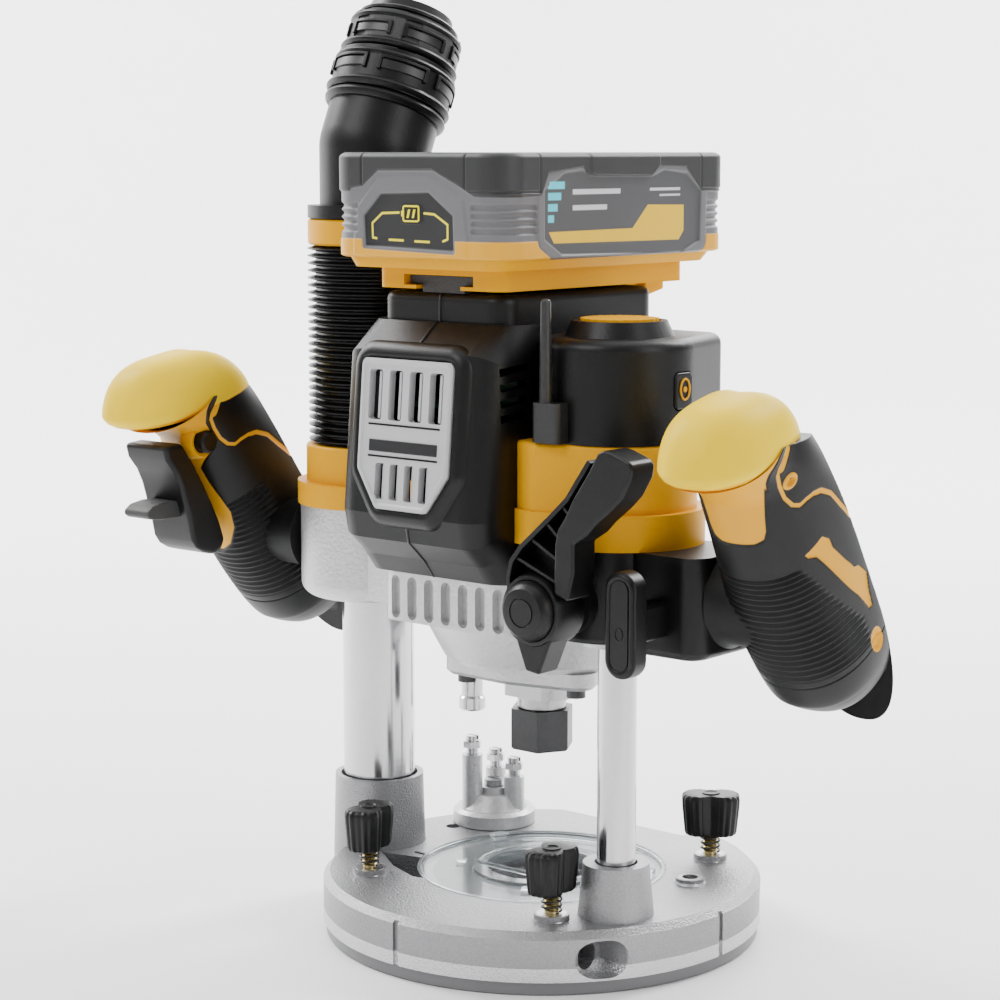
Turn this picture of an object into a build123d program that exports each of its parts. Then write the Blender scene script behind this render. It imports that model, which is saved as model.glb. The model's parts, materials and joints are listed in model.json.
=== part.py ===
"""Cordless plunge router, in millimetres.

The origin is on the spindle axis at the underside of the base. +Z is up, +X points to the plain
handle, -X to the trigger handle and -Y to the front, where the motor cover's grille is.
"""
from build123d import *
import os
from math import cos, radians, sin

os.makedirs("parts", exist_ok=True)

# --- driving dimensions -------------------------------------------------------------------------
BASE_R = 85.0               # radius of the base
SUB_T = 5.2                 # thickness of the plastic sub-base
DECK_Z = 23.5               # top face of the base casting
BACK_FLAT_Y = 69.5          # straight edge on the base's back left
GUIDE_R = 20.0              # opening for a guide bush, in the sub-base
INSERT_R = 47.5             # clear insert
ROD_Y = 50.0                # fence rods run along X at plus and minus this
ROD_Z = 13.0
ROD_R = 5.1                 # bore for a 10 mm rod
LEFT_X, LEFT_Y = -74.2, -12.4       # dust column
LEFT_R = 14.3
RIGHT_X, RIGHT_Y = 59.0, -30.0      # guide column
RIGHT_R = 7.15
LEFT_COLLAR_Z = 51.5
COLLAR_R = 18.6                 # collar of the dust column
RIGHT_COLLAR_Z = 43.0
CAST_Z = 125.0              # underside of the carriage's left sleeve
SHELL_Z = 162.0             # joint between the casting and the yellow body
SHELL_TOP = 198.6           # joint between the yellow body and the black housing
COVER_TOP = 249.0           # top of the motor cover, under the battery
BELLOWS_Z = 185.5           # bottom of the bellows
BELLOWS_TOP = 263.4         # top of the bellows
HANDLE_X = 129.0            # middle plane of the trigger, and nearly of each grip
TURRET_X, TURRET_Y = -56.0, 38.0
STOP_R = 10.0               # radius on which the turret's stops stand
GAP = 0.35                  # clearance between pieces of different bodies
FIT = 0.05                  # radial clearance of a running fit

LEFT = (LEFT_X, LEFT_Y)
RIGHT = (RIGHT_X, RIGHT_Y)
KNOBS = [(-45.0, -ROD_Y), (45.0, -ROD_Y), (45.0, ROD_Y)]
STOP_ANGLES = [246.0, 126.0, 6.0]
STOP_TOPS = [53.0, 44.0, 44.0]


def save(part, name):
    """Label a finished piece and write it as a STEP file."""
    part.label = name
    export_step(part, f"parts/{name}.step")


def at(x, y, z):
    """Horizontal sketch plane through a point."""
    return Plane(origin=(x, y, z))


def ring(x, y, z0, z1, outer, inner):
    """Plain tube with a vertical axis."""
    with BuildPart() as tube:
        with BuildSketch(at(x, y, z0)):
            Circle(outer)
            Circle(inner, mode=Mode.SUBTRACT)
        extrude(amount=z1 - z0)
    return tube.part


# --- base ---------------------------------------------------------------------------------------
with BuildPart() as sub_base:
    with BuildSketch():
        Circle(BASE_R - 1)
        with Locations(LEFT):
            Circle(17.8)
        with Locations((-32, BACK_FLAT_Y + 20)):
            Rectangle(100, 40, mode=Mode.SUBTRACT)
    extrude(amount=SUB_T)
    chamfer(sub_base.faces().sort_by(Axis.Z)[0].outer_wire().edges(), 0.8)
    Hole(GUIDE_R)
    with BuildSketch(Plane.XY.offset(SUB_T - 2.2)):
        Circle(GUIDE_R + 4)
    extrude(amount=3, mode=Mode.SUBTRACT)
    with Locations(Plane(origin=(0, 0, 0), x_dir=(1, 0, 0), z_dir=(0, 0, -1))):
        with PolarLocations(57, 4, start_angle=45):
            CounterSinkHole(2.2, 4.3, depth=SUB_T)
save(sub_base.part, "sub_base")

with BuildPart() as base_casting:
    with BuildSketch(Plane.XY.offset(SUB_T)):
        Circle(BASE_R)
    extrude(amount=DECK_Z - SUB_T)
    chamfer(base_casting.faces().sort_by(Axis.Z)[-1].outer_wire().edges(), 2.6)
    with BuildSketch(Plane.XY.offset(SUB_T)):
        with Locations((-32, BACK_FLAT_Y + 20)):
            Rectangle(100, 40)
    extrude(amount=30, mode=Mode.SUBTRACT)
    # seat of the dust column's collar, and the guide column's collar
    with BuildSketch(at(*LEFT, SUB_T)):
        Circle(COLLAR_R)
    extrude(amount=30, mode=Mode.SUBTRACT)
    with BuildSketch(at(*RIGHT, DECK_Z - 1)):
        Circle(14.1)
    extrude(amount=RIGHT_COLLAR_Z - DECK_Z + 1, taper=5.5)
    # bosses of the rod clamp screws and the plain hole
    with BuildSketch(Plane.XY.offset(DECK_Z - 1)):
        with Locations(KNOBS):
            Circle(6.5)
        with Locations((57.8, 18.4)):
            Circle(5.5)
    extrude(amount=3.2)
    # seat of the insert and the cutter opening
    with BuildSketch(Plane.XY.offset(DECK_Z - 3.9)):
        Circle(INSERT_R + 0.6)
    extrude(amount=10, mode=Mode.SUBTRACT)
    with BuildSketch(Plane.XY.offset(SUB_T)):
        Circle(INSERT_R - 5)
    extrude(amount=20, mode=Mode.SUBTRACT)
    # pocket in front of the dust duct
    with BuildSketch(Plane.XY.offset(14.5)):
        Polygon((-60, -26.5), (-43, -21.9), (-30, -34), (-24, -42.5), (-29, -43.2), (-44, -37.5), align=None)
    extrude(amount=12, mode=Mode.SUBTRACT)
    # dust duct from the cutter to the dust column
    with BuildSketch(Plane.XY.offset(SUB_T)):
        with Locations(Location((LEFT_X / 2, LEFT_Y / 2, 0), (0, 0, 1), 9.5)):
            Rectangle(75, 18)
    extrude(amount=8, mode=Mode.SUBTRACT)
    # bore for the guide column, with a sealing groove open at the top
    with BuildSketch(at(*RIGHT, 7.0)):
        Circle(RIGHT_R)
    extrude(amount=60, mode=Mode.SUBTRACT)
    with BuildSketch(at(*RIGHT, RIGHT_COLLAR_Z - 3)):
        Circle(RIGHT_R + 0.8)
    extrude(amount=10, mode=Mode.SUBTRACT)
    # bores for the fence rods, with wide mouths on the right
    with BuildSketch(Plane.YZ.offset(-90)):
        with Locations((ROD_Y, ROD_Z), (-ROD_Y, ROD_Z)):
            Circle(ROD_R)
    extrude(amount=180, mode=Mode.SUBTRACT)
    with BuildSketch(Plane.YZ.offset(61)):
        with Locations((ROD_Y, ROD_Z), (-ROD_Y, ROD_Z)):
            RectangleRounded(16, 14, 6.5)
    extrude(amount=30, mode=Mode.SUBTRACT)
    # index notches in the rim
    with BuildSketch(Plane.XY.offset(SUB_T)):
        with PolarLocations(BASE_R + 0.2, 2, start_angle=-90, angular_range=90, endpoint=True):
            Rectangle(2.6, 2.4)
    extrude(amount=18, mode=Mode.SUBTRACT)
    # screw holes: rod clamps, plain holes, turret pivot and sub-base
    with Locations(*[(x, y, DECK_Z + 3) for x, y in KNOBS]):
        Hole(2.6, depth=13)
    with Locations((57.8, 18.4, DECK_Z + 3), (-63.3, 20.3, DECK_Z + 3)):
        Hole(3.0, depth=30)
    with Locations((TURRET_X, TURRET_Y, DECK_Z + 3)):
        Hole(2.5, depth=16)
    with Locations(Plane.XY.offset(SUB_T)):
        with PolarLocations(57, 4, start_angle=45):
            Cylinder(2.2, 10, align=(Align.CENTER, Align.CENTER, Align.MIN), mode=Mode.SUBTRACT)
save(base_casting.part, "base_casting")

# collar let into the casting, holding the dust column over the end of the duct
with BuildPart() as column_collar:
    with BuildSketch(at(*LEFT, SUB_T)):
        Circle(COLLAR_R)
    extrude(amount=DECK_Z - 4 - SUB_T)
    with BuildSketch(at(*LEFT, DECK_Z - 4)):
        Circle(COLLAR_R)
    extrude(amount=LEFT_COLLAR_Z - DECK_Z + 4, taper=1.6)
    with BuildSketch(at(*LEFT, SUB_T)):
        Circle(LEFT_R - 2)
    extrude(amount=60, mode=Mode.SUBTRACT)
    with BuildSketch(at(*LEFT, 14.0)):
        Circle(LEFT_R)
    extrude(amount=60, mode=Mode.SUBTRACT)
    with BuildSketch(at(*LEFT, LEFT_COLLAR_Z - 4)):
        Circle(LEFT_R + 1.1)
    extrude(amount=10, mode=Mode.SUBTRACT)
    with BuildSketch(Plane.XY.offset(SUB_T)):
        with Locations(Location((LEFT_X / 2, LEFT_Y / 2, 0), (0, 0, 1), 9.5)):
            Rectangle(75, 18)
    extrude(amount=8, mode=Mode.SUBTRACT)
save(column_collar.part, "column_collar")

with BuildPart() as base_screws:
    with BuildSketch(Plane.XZ) as screw_profile:
        with Locations((57, 0)):
            Polygon((0, 0.4), (3.8, 0.4), (2.15, 2.05), (2.15, 14.5), (0, 14.5), align=None)
    screw = revolve(axis=Axis((57, 0, 0), (0, 0, 1)), mode=Mode.PRIVATE)
    with PolarLocations(0, 4, start_angle=45):
        add(screw)

with BuildPart() as insert_window:
    with BuildSketch(Plane.XY.offset(DECK_Z - 3.8)):
        Circle(INSERT_R)
    extrude(amount=3.0)
    with BuildSketch(Plane.XY.offset(DECK_Z - 1)):
        Circle(27)
        with Locations((8, 6)):
            Rectangle(44, 30)
    extrude(amount=1.6)
    with BuildSketch(Plane.XY.offset(DECK_Z - 5)):
        Circle(GUIDE_R + 1.5)
    extrude(amount=8, mode=Mode.SUBTRACT)
save(insert_window.part, "insert_window")

save(ring(*LEFT, 14.0, 276.0, LEFT_R, LEFT_R - 2), "dust_column")
save(ring(*RIGHT, 7.0, 158.0, RIGHT_R, RIGHT_R - 2), "guide_column")

# --- rod clamp knobs, each a wing knob with its screw and spring --------------------------------
KNOB_Z0, KNOB_Z1 = 33.0, 49.5
for index, (kx, ky) in enumerate(KNOBS):
    with BuildPart() as rod_clamp:
        with BuildSketch(at(kx, ky, 18.6)):
            Circle(2.5)
        extrude(amount=KNOB_Z0 - 18.6)
        with BuildSketch(at(kx, ky, 25.9 + GAP)):
            Circle(3.1)
            Circle(2.5, mode=Mode.SUBTRACT)
        extrude(amount=KNOB_Z0 - 25.9 - GAP)
        with BuildSketch(at(kx, ky, KNOB_Z0)):
            RectangleRounded(20, 9, 3.5)
            Circle(6.2)
        extrude(amount=KNOB_Z1 - KNOB_Z0, taper=-2)
        fillet(rod_clamp.faces().sort_by(Axis.Z)[-1].edges(), 1.5)
    save(rod_clamp.part, f"rod_clamp_knob_{index + 1}")

# --- depth turret -------------------------------------------------------------------------------
STOPS = [(TURRET_X + STOP_R * cos(radians(a)), TURRET_Y + STOP_R * sin(radians(a))) for a in STOP_ANGLES]

with BuildPart() as depth_turret:
    with BuildSketch(at(TURRET_X, TURRET_Y, DECK_Z + GAP)):
        Circle(17)
    extrude(amount=6.5)
    chamfer(depth_turret.faces().sort_by(Axis.Z)[-1].edges(), 1.5)
    with BuildSketch(at(TURRET_X, TURRET_Y, 29)):
        Circle(15)
    extrude(amount=7, taper=35)
    with BuildSketch(at(TURRET_X, TURRET_Y, 29)):
        Circle(6)
    extrude(amount=9.6)
    for (sx, sy), top in zip(STOPS, STOP_TOPS):
        with BuildSketch(at(sx, sy, 29)):
            Circle(4.2)
        extrude(amount=top - 29)
        with BuildSketch(at(sx, sy, top - 16)):
            Circle(2.5)
        extrude(amount=40, mode=Mode.SUBTRACT)
    with BuildSketch(at(TURRET_X, TURRET_Y, 20)):
        Circle(2.5 + FIT)
    extrude(amount=30, mode=Mode.SUBTRACT)
save(depth_turret.part, "depth_turret")

with BuildPart() as turret_pivot:
    with BuildSketch(at(TURRET_X, TURRET_Y, 11)):
        Circle(2.5)
    extrude(amount=27.95)
    with BuildSketch(at(TURRET_X, TURRET_Y, 38.95)):
        Circle(4.2)
        Rectangle(7, 1.2, mode=Mode.SUBTRACT)
    extrude(amount=2.6)
    with BuildSketch(at(TURRET_X, TURRET_Y, 38.95)):
        Circle(4.2)
    extrude(amount=1.2)
    add(base_screws.part)
save(turret_pivot.part, "base_screws")

for index, ((sx, sy), top) in enumerate(zip(STOPS, STOP_TOPS)):
    with BuildPart() as stop_screw:
        with BuildSketch(at(sx, sy, top - 10)):
            Circle(2.5 - FIT)
        extrude(amount=10 + 3)
        with BuildSketch(at(sx, sy, top + 3)):
            RegularPolygon(3.9, 6)
        extrude(amount=2.6)
        with BuildSketch(at(sx, sy, top + 5.6)):
            Circle(2.8)
        extrude(amount=2.4)
        with BuildSketch(at(sx, sy, top + 6.6)):
            Rectangle(8, 1.1)
        extrude(amount=3, mode=Mode.SUBTRACT)
    save(stop_screw.part, f"stop_screw_{index + 1}")

# --- motor cover: front block and upper housing, split on the middle plane -----------------------
with BuildPart() as cover_outer:
    with BuildSketch(Plane.YZ.offset(-36)):
        Polygon((-40, 238.7), (-60.7, 238.7), (-73.2, 228.7), (-78.4, 169.9), (-76.4, 160.3),
                (-68.3, 153), (-62.9, 146.1), (-40, 146.1), align=None)
    extrude(amount=72)
    front_edges = cover_outer.edges().filter_by_position(Axis.Y, -79, -61)
    side_edges = front_edges.filter_by(lambda e: abs(e.center().X) > 35.9)
    fillet(side_edges, 11)
    with BuildSketch(Plane.XY.offset(SHELL_Z)):
        with Locations((0, -13.5)):
            RectangleRounded(60, 91, 8)
    extrude(amount=COVER_TOP - SHELL_Z)
    fillet(cover_outer.faces().sort_by(Axis.Z)[-1].edges(), 3)

with BuildPart() as cover:
    add(cover_outer.part)
    with BuildSketch(Plane.XY.offset(SHELL_Z - 20)):
        with Locations((0, -13.5)):
            RectangleRounded(54, 85, 6)
    extrude(amount=COVER_TOP - 3 - SHELL_Z + 20, mode=Mode.SUBTRACT)
    with BuildSketch(Plane.YZ.offset(-32)):
        Polygon((-40, 235), (-59.5, 235), (-69.8, 227), (-74.6, 170.5), (-73, 162.5),
                (-66, 156.3), (-60, 150), (-40, 150), align=None)
    extrude(amount=64, mode=Mode.SUBTRACT)
    # side louvres
    for louvre_x in (-40, 30):
        with BuildSketch(Plane.YZ.offset(louvre_x)):
            with Locations(*[(-60, z) for z in (207, 212.5, 218, 223.5)]):
                Rectangle(15, 2.8, rotation=6)
        extrude(amount=10, mode=Mode.SUBTRACT)
    # opening behind the grille
    with BuildSketch(Plane.XZ.offset(70)):
        with Locations((0, 211)):
            Rectangle(30, 20)
        with Locations((0, 179)):
            Rectangle(22, 8)
    extrude(amount=14, mode=Mode.SUBTRACT)

with BuildPart() as motor_cover_left:
    add(cover.part)
    split(bisect_by=Plane.YZ, keep=Keep.BOTTOM)
save(motor_cover_left.part, "motor_cover_left")

with BuildPart() as motor_cover_right:
    add(cover.part)
    split(bisect_by=Plane.YZ, keep=Keep.TOP)
save(motor_cover_right.part, "motor_cover_right")

# --- grille on the front of the motor cover ------------------------------------------------------
GRILLE_TILT = radians(5)
GRILLE_PLANE = Plane(origin=(0, -78.2, 170), x_dir=(1, 0, 0), z_dir=(0, -cos(GRILLE_TILT), sin(GRILLE_TILT)))
with BuildPart() as grille:
    with BuildSketch(GRILLE_PLANE) as grille_outline:
        Polygon((-21.5, 56), (21.5, 56), (21.5, 16), (12, 2), (-12, 2), (-21.5, 16), align=None)
        fillet(grille_outline.vertices(), 2.5)
    extrude(amount=3.4)
    with BuildSketch(GRILLE_PLANE.offset(-2)):
        with Locations((0, 43)):
            with GridLocations(9.6, 0, 4, 1):
                RectangleRounded(6.4, 18, 1.2)
        with Locations((0, 12)):
            with GridLocations(7, 0, 4, 1):
                RectangleRounded(4.6, 13, 1.2)
    extrude(amount=10, mode=Mode.SUBTRACT)
    add(cover_outer.part, mode=Mode.SUBTRACT)
save(grille.part, "grille")

# --- carriage casting: sleeves of both columns, motor ring and the arm of the depth rod ----------
ROD_CENTRE = STOPS[0]       # the depth rod stands over the tallest stop
BUSH_T = 2.5
MOTOR_R = 38.0              # fan chamber
STATOR_R = 27.0
CLAMP_Z = 156.0             # clamp screw of the depth rod
PLATE_SCREWS = PolarLocations(29, 3, start_angle=215)

with BuildPart() as carriage_casting:
    with BuildSketch(at(*LEFT, CAST_Z)):
        Circle(30.5)
    extrude(amount=SHELL_Z - CAST_Z)
    fillet(carriage_casting.faces().sort_by(Axis.Z)[0].edges(), 6)
    with BuildSketch(Plane.XY.offset(127)) as casting_neck:
        with Locations(LEFT):
            Circle(24)
        Circle(40)
        make_hull()
    extrude(amount=SHELL_Z - 127)
    with BuildSketch(Plane.XY.offset(123)):
        Circle(46)
    extrude(amount=SHELL_Z - 123)
    with BuildSketch(Plane.XY.offset(127)):
        with Locations((2, -34)):
            RectangleRounded(66, 52, 10)
    extrude(amount=SHELL_Z - 127)
    with BuildSketch(Plane.XY.offset(109)):
        Circle(38)
    extrude(amount=15, taper=-28)
    with BuildSketch(at(*ROD_CENTRE, 109)):
        Circle(8.5)
    extrude(amount=SHELL_Z - 109)
    with BuildSketch(Plane.XY.offset(126)) as rod_arm:
        with Locations(ROD_CENTRE):
            Circle(8.5)
        with Locations((-32, 14)):
            Circle(9)
        make_hull()
    extrude(amount=SHELL_Z - 126)
    with BuildSketch(at(*RIGHT, 124)):
        Circle(13)
    extrude(amount=SHELL_Z - 124)
    with BuildSketch(Plane.XY.offset(130)) as right_web:
        with Locations(RIGHT):
            Circle(10)
        with Locations((36, -16)):
            Circle(14)
        make_hull()
    extrude(amount=SHELL_Z - 130)
    # cooling fins under the front block
    with BuildSketch(Plane.XZ.offset(57)):
        with Locations((3, 136)):
            with GridLocations(8.2, 0, 7, 1):
                SlotOverall(16, 4.6, rotation=90)
    extrude(amount=6, mode=Mode.SUBTRACT)
    # bores: bushes, motor, bearing, depth rod
    with BuildSketch(at(*LEFT, 100)):
        Circle(LEFT_R + BUSH_T)
    extrude(amount=80, mode=Mode.SUBTRACT)
    with BuildSketch(at(*RIGHT, 100)):
        Circle(RIGHT_R + BUSH_T)
    extrude(amount=80, mode=Mode.SUBTRACT)
    with BuildSketch(Plane.XY.offset(119)):
        Circle(MOTOR_R)
    extrude(amount=12, mode=Mode.SUBTRACT)
    with BuildSketch(Plane.XY.offset(130)):
        Circle(STATOR_R)
    extrude(amount=60, mode=Mode.SUBTRACT)
    with BuildSketch(Plane.XY.offset(107)):
        Circle(13)
    extrude(amount=20, mode=Mode.SUBTRACT)
    with BuildSketch(at(*ROD_CENTRE, 100)):
        Circle(6.2)
    extrude(amount=50, mode=Mode.SUBTRACT)
    with BuildSketch(at(*ROD_CENTRE, 100)):
        Circle(3 + FIT)
    extrude(amount=80, mode=Mode.SUBTRACT)
    with BuildSketch(Plane.XY.offset(100)):
        with PLATE_SCREWS:
            Circle(2)
    extrude(amount=18, mode=Mode.SUBTRACT)
    # thread of the depth clamp screw
    with BuildSketch(Plane.XZ.offset(-ROD_CENTRE[1] - 2)):
        with Locations((ROD_CENTRE[0], CLAMP_Z)):
            Circle(2.5 + FIT)
    extrude(amount=-20, mode=Mode.SUBTRACT)
    add(cover_outer.part, mode=Mode.SUBTRACT)
save(carriage_casting.part, "carriage_casting")

with BuildPart() as column_bushes:
    for (bush_x, bush_y), bush_r, bush_z in (LEFT, LEFT_R, CAST_Z), (RIGHT, RIGHT_R, 124):
        with BuildSketch(at(bush_x, bush_y, bush_z + 1)):
            Circle(bush_r + BUSH_T)
            Circle(bush_r + FIT, mode=Mode.SUBTRACT)
        extrude(amount=SHELL_Z - bush_z - 2)
save(column_bushes.part, "column_bushes")

with BuildPart() as bearing_plate:
    with BuildSketch(Plane.XY.offset(100)) as plate_outline:
        Circle(26)
        with PLATE_SCREWS:
            Circle(8)
        make_hull()
    extrude(amount=6.5)
    chamfer(bearing_plate.faces().sort_by(Axis.Z)[0].outer_wire().edges(), 1.5)
    with BuildSketch(Plane.XY.offset(106.5)):
        Circle(34)
    extrude(amount=2.5)
    with BuildSketch(Plane.XY.offset(99)):
        Circle(15.5)
    extrude(amount=12, mode=Mode.SUBTRACT)
    with BuildSketch(Plane.XY.offset(99)):
        with PLATE_SCREWS:
            Circle(2)
    extrude(amount=12, mode=Mode.SUBTRACT)
save(bearing_plate.part, "bearing_plate")

# --- yellow body shell around the motor and over the guide column --------------------------------
with BuildPart() as shell_outer:
    with BuildSketch(Plane.XY.offset(SHELL_Z)) as shell_plan:
        Circle(46)
        with Locations((LEFT_X + 34, LEFT_Y + 4)):
            Circle(18)
        with Locations(RIGHT):
            Circle(31)
        with Locations((45, -55)):
            Circle(8)
        make_hull()
    extrude(amount=12.5)
    with BuildSketch(Plane.XY.offset(SHELL_Z + 12.5)) as shell_upper:
        Circle(42)
        with Locations(RIGHT):
            Circle(28)
        with Locations((45, -56)):
            Circle(6)
        make_hull()
    extrude(amount=SHELL_TOP - SHELL_Z - 12.5)
    fillet(shell_outer.faces().sort_by(Axis.Z)[-1].edges(), 1.5)
    with BuildSketch(at(*LEFT, SHELL_Z - 1)):
        Circle(32)
    extrude(amount=60, mode=Mode.SUBTRACT)

with BuildPart() as body_shell:
    add(shell_outer.part)
    with BuildSketch(Plane.XY.offset(SHELL_Z - 1)):
        Circle(36)
    extrude(amount=60, mode=Mode.SUBTRACT)
    with BuildSketch(at(*RIGHT, SHELL_Z - 1)):
        Circle(24)
    extrude(amount=60, mode=Mode.SUBTRACT)
    add(cover_outer.part, mode=Mode.SUBTRACT)
save(body_shell.part, "body_shell")

with BuildPart() as sleeve_collar:
    with BuildSketch(at(*LEFT, SHELL_Z)):
        Circle(31.5)
        Circle(LEFT_R + 1.5, mode=Mode.SUBTRACT)
    extrude(amount=9)
    with BuildSketch(at(*LEFT, SHELL_Z + 9)):
        Circle(28)
        Circle(LEFT_R + 1.5, mode=Mode.SUBTRACT)
    extrude(amount=BELLOWS_Z - SHELL_Z - 9)
    fillet(sleeve_collar.faces().sort_by(Axis.Z)[-1].outer_wire().edges(), 1.2)
save(sleeve_collar.part, "sleeve_collar")

# --- black housing over the guide column, with the speed dial on top ------------------------------
HOUSING_TOP = 235.0
with BuildPart() as side_housing:
    with BuildSketch(Plane.XY.offset(SHELL_TOP)) as housing_plan:
        with Locations(RIGHT):
            Circle(28)
        with Locations((34, -8)):
            Rectangle(12, 36)
        with Locations((72, 0)):
            Circle(8)
        make_hull()
    extrude(amount=HOUSING_TOP - SHELL_TOP)
    fillet(side_housing.faces().sort_by(Axis.Z)[-1].edges(), 4)
    # rim with a recess for the speed dial
    with BuildSketch(at(*RIGHT, HOUSING_TOP - 1)):
        Circle(20)
    extrude(amount=6.5, taper=25)
    with BuildSketch(at(*RIGHT, HOUSING_TOP + 2.5)):
        Circle(14.6)
    extrude(amount=10, mode=Mode.SUBTRACT)
    with BuildSketch(Plane.XY.offset(SHELL_TOP - 1)) as housing_hollow:
        with Locations(RIGHT):
            Circle(25)
        with Locations((36, -12)):
            Rectangle(8, 24)
        make_hull()
    extrude(amount=HOUSING_TOP - SHELL_TOP - 2, mode=Mode.SUBTRACT)
    with BuildSketch(at(*RIGHT, HOUSING_TOP - 6)):
        Circle(5 + FIT)
    extrude(amount=20, mode=Mode.SUBTRACT)
    with BuildSketch(Plane.YZ.offset(78)):
        with Locations((RIGHT_Y, 217)):
            RectangleRounded(10.7, 13.7, 2.5)
    extrude(amount=20, mode=Mode.SUBTRACT)
    add(cover_outer.part, mode=Mode.SUBTRACT)
save(side_housing.part, "side_housing")

with BuildPart() as speed_dial:
    with BuildSketch(at(*RIGHT, HOUSING_TOP + 2.5 + GAP)):
        Circle(14)
        with PolarLocations(14.2, 24):
            Circle(0.9, mode=Mode.SUBTRACT)
    extrude(amount=3.4)
    with BuildSketch(at(*RIGHT, HOUSING_TOP - 8)):
        Circle(5)
    extrude(amount=11)
save(speed_dial.part, "speed_dial")

with BuildPart() as pairing_button:
    with BuildSketch(Plane.YZ.offset(82)):
        with Locations((RIGHT_Y, 217)):
            RectangleRounded(10, 13, 2.2)
    extrude(amount=5.4)
    fillet(pairing_button.faces().sort_by(Axis.X)[-1].edges(), 0.8)
save(pairing_button.part, "pairing_button")

# --- black casting over the plunge lock, below the yellow shell -----------------------------------
LEVER_X, LEVER_Z = 58.6, 143.0
PLATE_X = 91.0
with BuildPart() as lock_housing:
    with BuildSketch(at(*RIGHT, 128.5)):
        Circle(28)
    extrude(amount=SHELL_Z - 128.5)
    fillet(lock_housing.faces().sort_by(Axis.Z)[0].edges(), 2.2)
    with BuildSketch(Plane.XZ.offset(30)):
        with Locations((LEVER_X, LEVER_Z)):
            Circle(11.3)
    extrude(amount=30)
    with BuildSketch(Plane.XY.offset(126)):
        with Locations((92, -31)):
            RectangleRounded(32, 38, 8)
    extrude(amount=SHELL_Z - 126)
    fillet(lock_housing.faces().sort_by(Axis.Z)[0].edges(), 3)
    with BuildSketch(at(*RIGHT, 120)):
        Circle(13.4)
    extrude(amount=60, mode=Mode.SUBTRACT)
    with BuildSketch(Plane.XZ.offset(46)):
        with Locations((LEVER_X, LEVER_Z)):
            Circle(4 + FIT)
    extrude(amount=20, mode=Mode.SUBTRACT)
    with BuildSketch(Plane.XZ.offset(36)):
        with Locations((PLATE_X, 140)):
            RectangleRounded(8.7, 12.7, 2)
    extrude(amount=20, mode=Mode.SUBTRACT)
    with BuildSketch(Plane.XY.offset(120)) as web_room:
        with Locations(RIGHT):
            Circle(10.3)
        with Locations((36, -16)):
            Circle(14.3)
        make_hull()
    extrude(amount=60, mode=Mode.SUBTRACT)
    with BuildSketch(Plane.XY.offset(120)):
        Circle(46.2)
        with Locations((5, -22)):
            Rectangle(83, 82)
    extrude(amount=60, mode=Mode.SUBTRACT)
save(lock_housing.part, "lock_housing")

with BuildPart() as housing_screws:
    for z0 in (96.5,):
        with BuildSketch(Plane.XY.offset(z0)):
            with PLATE_SCREWS:
                Circle(3.6)
        extrude(amount=3.5)
        with BuildSketch(Plane.XY.offset(z0)):
            with PLATE_SCREWS:
                RegularPolygon(1.7, 6)
        extrude(amount=2, mode=Mode.SUBTRACT)
        with BuildSketch(Plane.XY.offset(z0 + 3.5)):
            with PLATE_SCREWS:
                Circle(1.95)
        extrude(amount=16)
save(housing_screws.part, "housing_screws")

# --- plunge spring inside the guide column, and the tower above it -------------------------------
TOWER_TOP = 223.0
with BuildPart() as spring_tower:
    with BuildSketch(at(*RIGHT, SHELL_Z)):
        Circle(11)
    extrude(amount=TOWER_TOP - SHELL_Z)
    with BuildSketch(at(*RIGHT, SHELL_Z)):
        Circle(8)
    extrude(amount=TOWER_TOP - 4 - SHELL_Z, mode=Mode.SUBTRACT)
save(spring_tower.part, "spring_tower")

save(ring(*RIGHT, 7.0 + GAP, TOWER_TOP - 4 - GAP, 4.6, 3.4), "plunge_spring")

# --- motor ----------------------------------------------------------------------------------------
save(ring(0, 0, 134, 174, STATOR_R - FIT, 15), "stator")

with BuildPart() as spindle_bearings:
    with BuildSketch(Plane.XY.offset(109)):
        Circle(13)
        Circle(8 + FIT, mode=Mode.SUBTRACT)
    extrude(amount=9)
    with BuildSketch(Plane.XY.offset(184)):
        Circle(13)
        Rectangle(54, 20)
        Circle(6 + FIT, mode=Mode.SUBTRACT)
    extrude(amount=7)
save(spindle_bearings.part, "spindle_bearings")

with BuildPart() as controller_board:
    with BuildSketch(Plane.XY.offset(206)):
        with Locations((0, -12)):
            RectangleRounded(54, 76, 3)
    extrude(amount=2)
    with BuildSketch(Plane.XY.offset(208)):
        with Locations((-12, -30), (12, -30), (0, 8)):
            Rectangle(14, 16)
    extrude(amount=9)
save(controller_board.part, "controller_board")

with BuildPart() as spindle:
    with BuildSketch(Plane.XY.offset(87.35)):
        Circle(9.5)
    extrude(amount=5)
    with BuildSketch(Plane.XY.offset(92)) as nose:
        Circle(14.5)
        with Locations((0, 13.5), (0, -13.5)):
            Rectangle(30, 4, mode=Mode.SUBTRACT)
    extrude(amount=8)
    with BuildSketch(Plane.XY.offset(92)):
        Circle(8)
    extrude(amount=28)
    with BuildSketch(Plane.XY.offset(120)):
        Circle(6)
    extrude(amount=80)
    with BuildSketch(Plane.XY.offset(76)):
        Circle(8)
    extrude(amount=14)
    # bore for the cutter's shank, in the collet
    with BuildSketch(Plane.XY.offset(70)):
        Circle(6)
    extrude(amount=28, mode=Mode.SUBTRACT)
save(spindle.part, "spindle")

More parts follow.
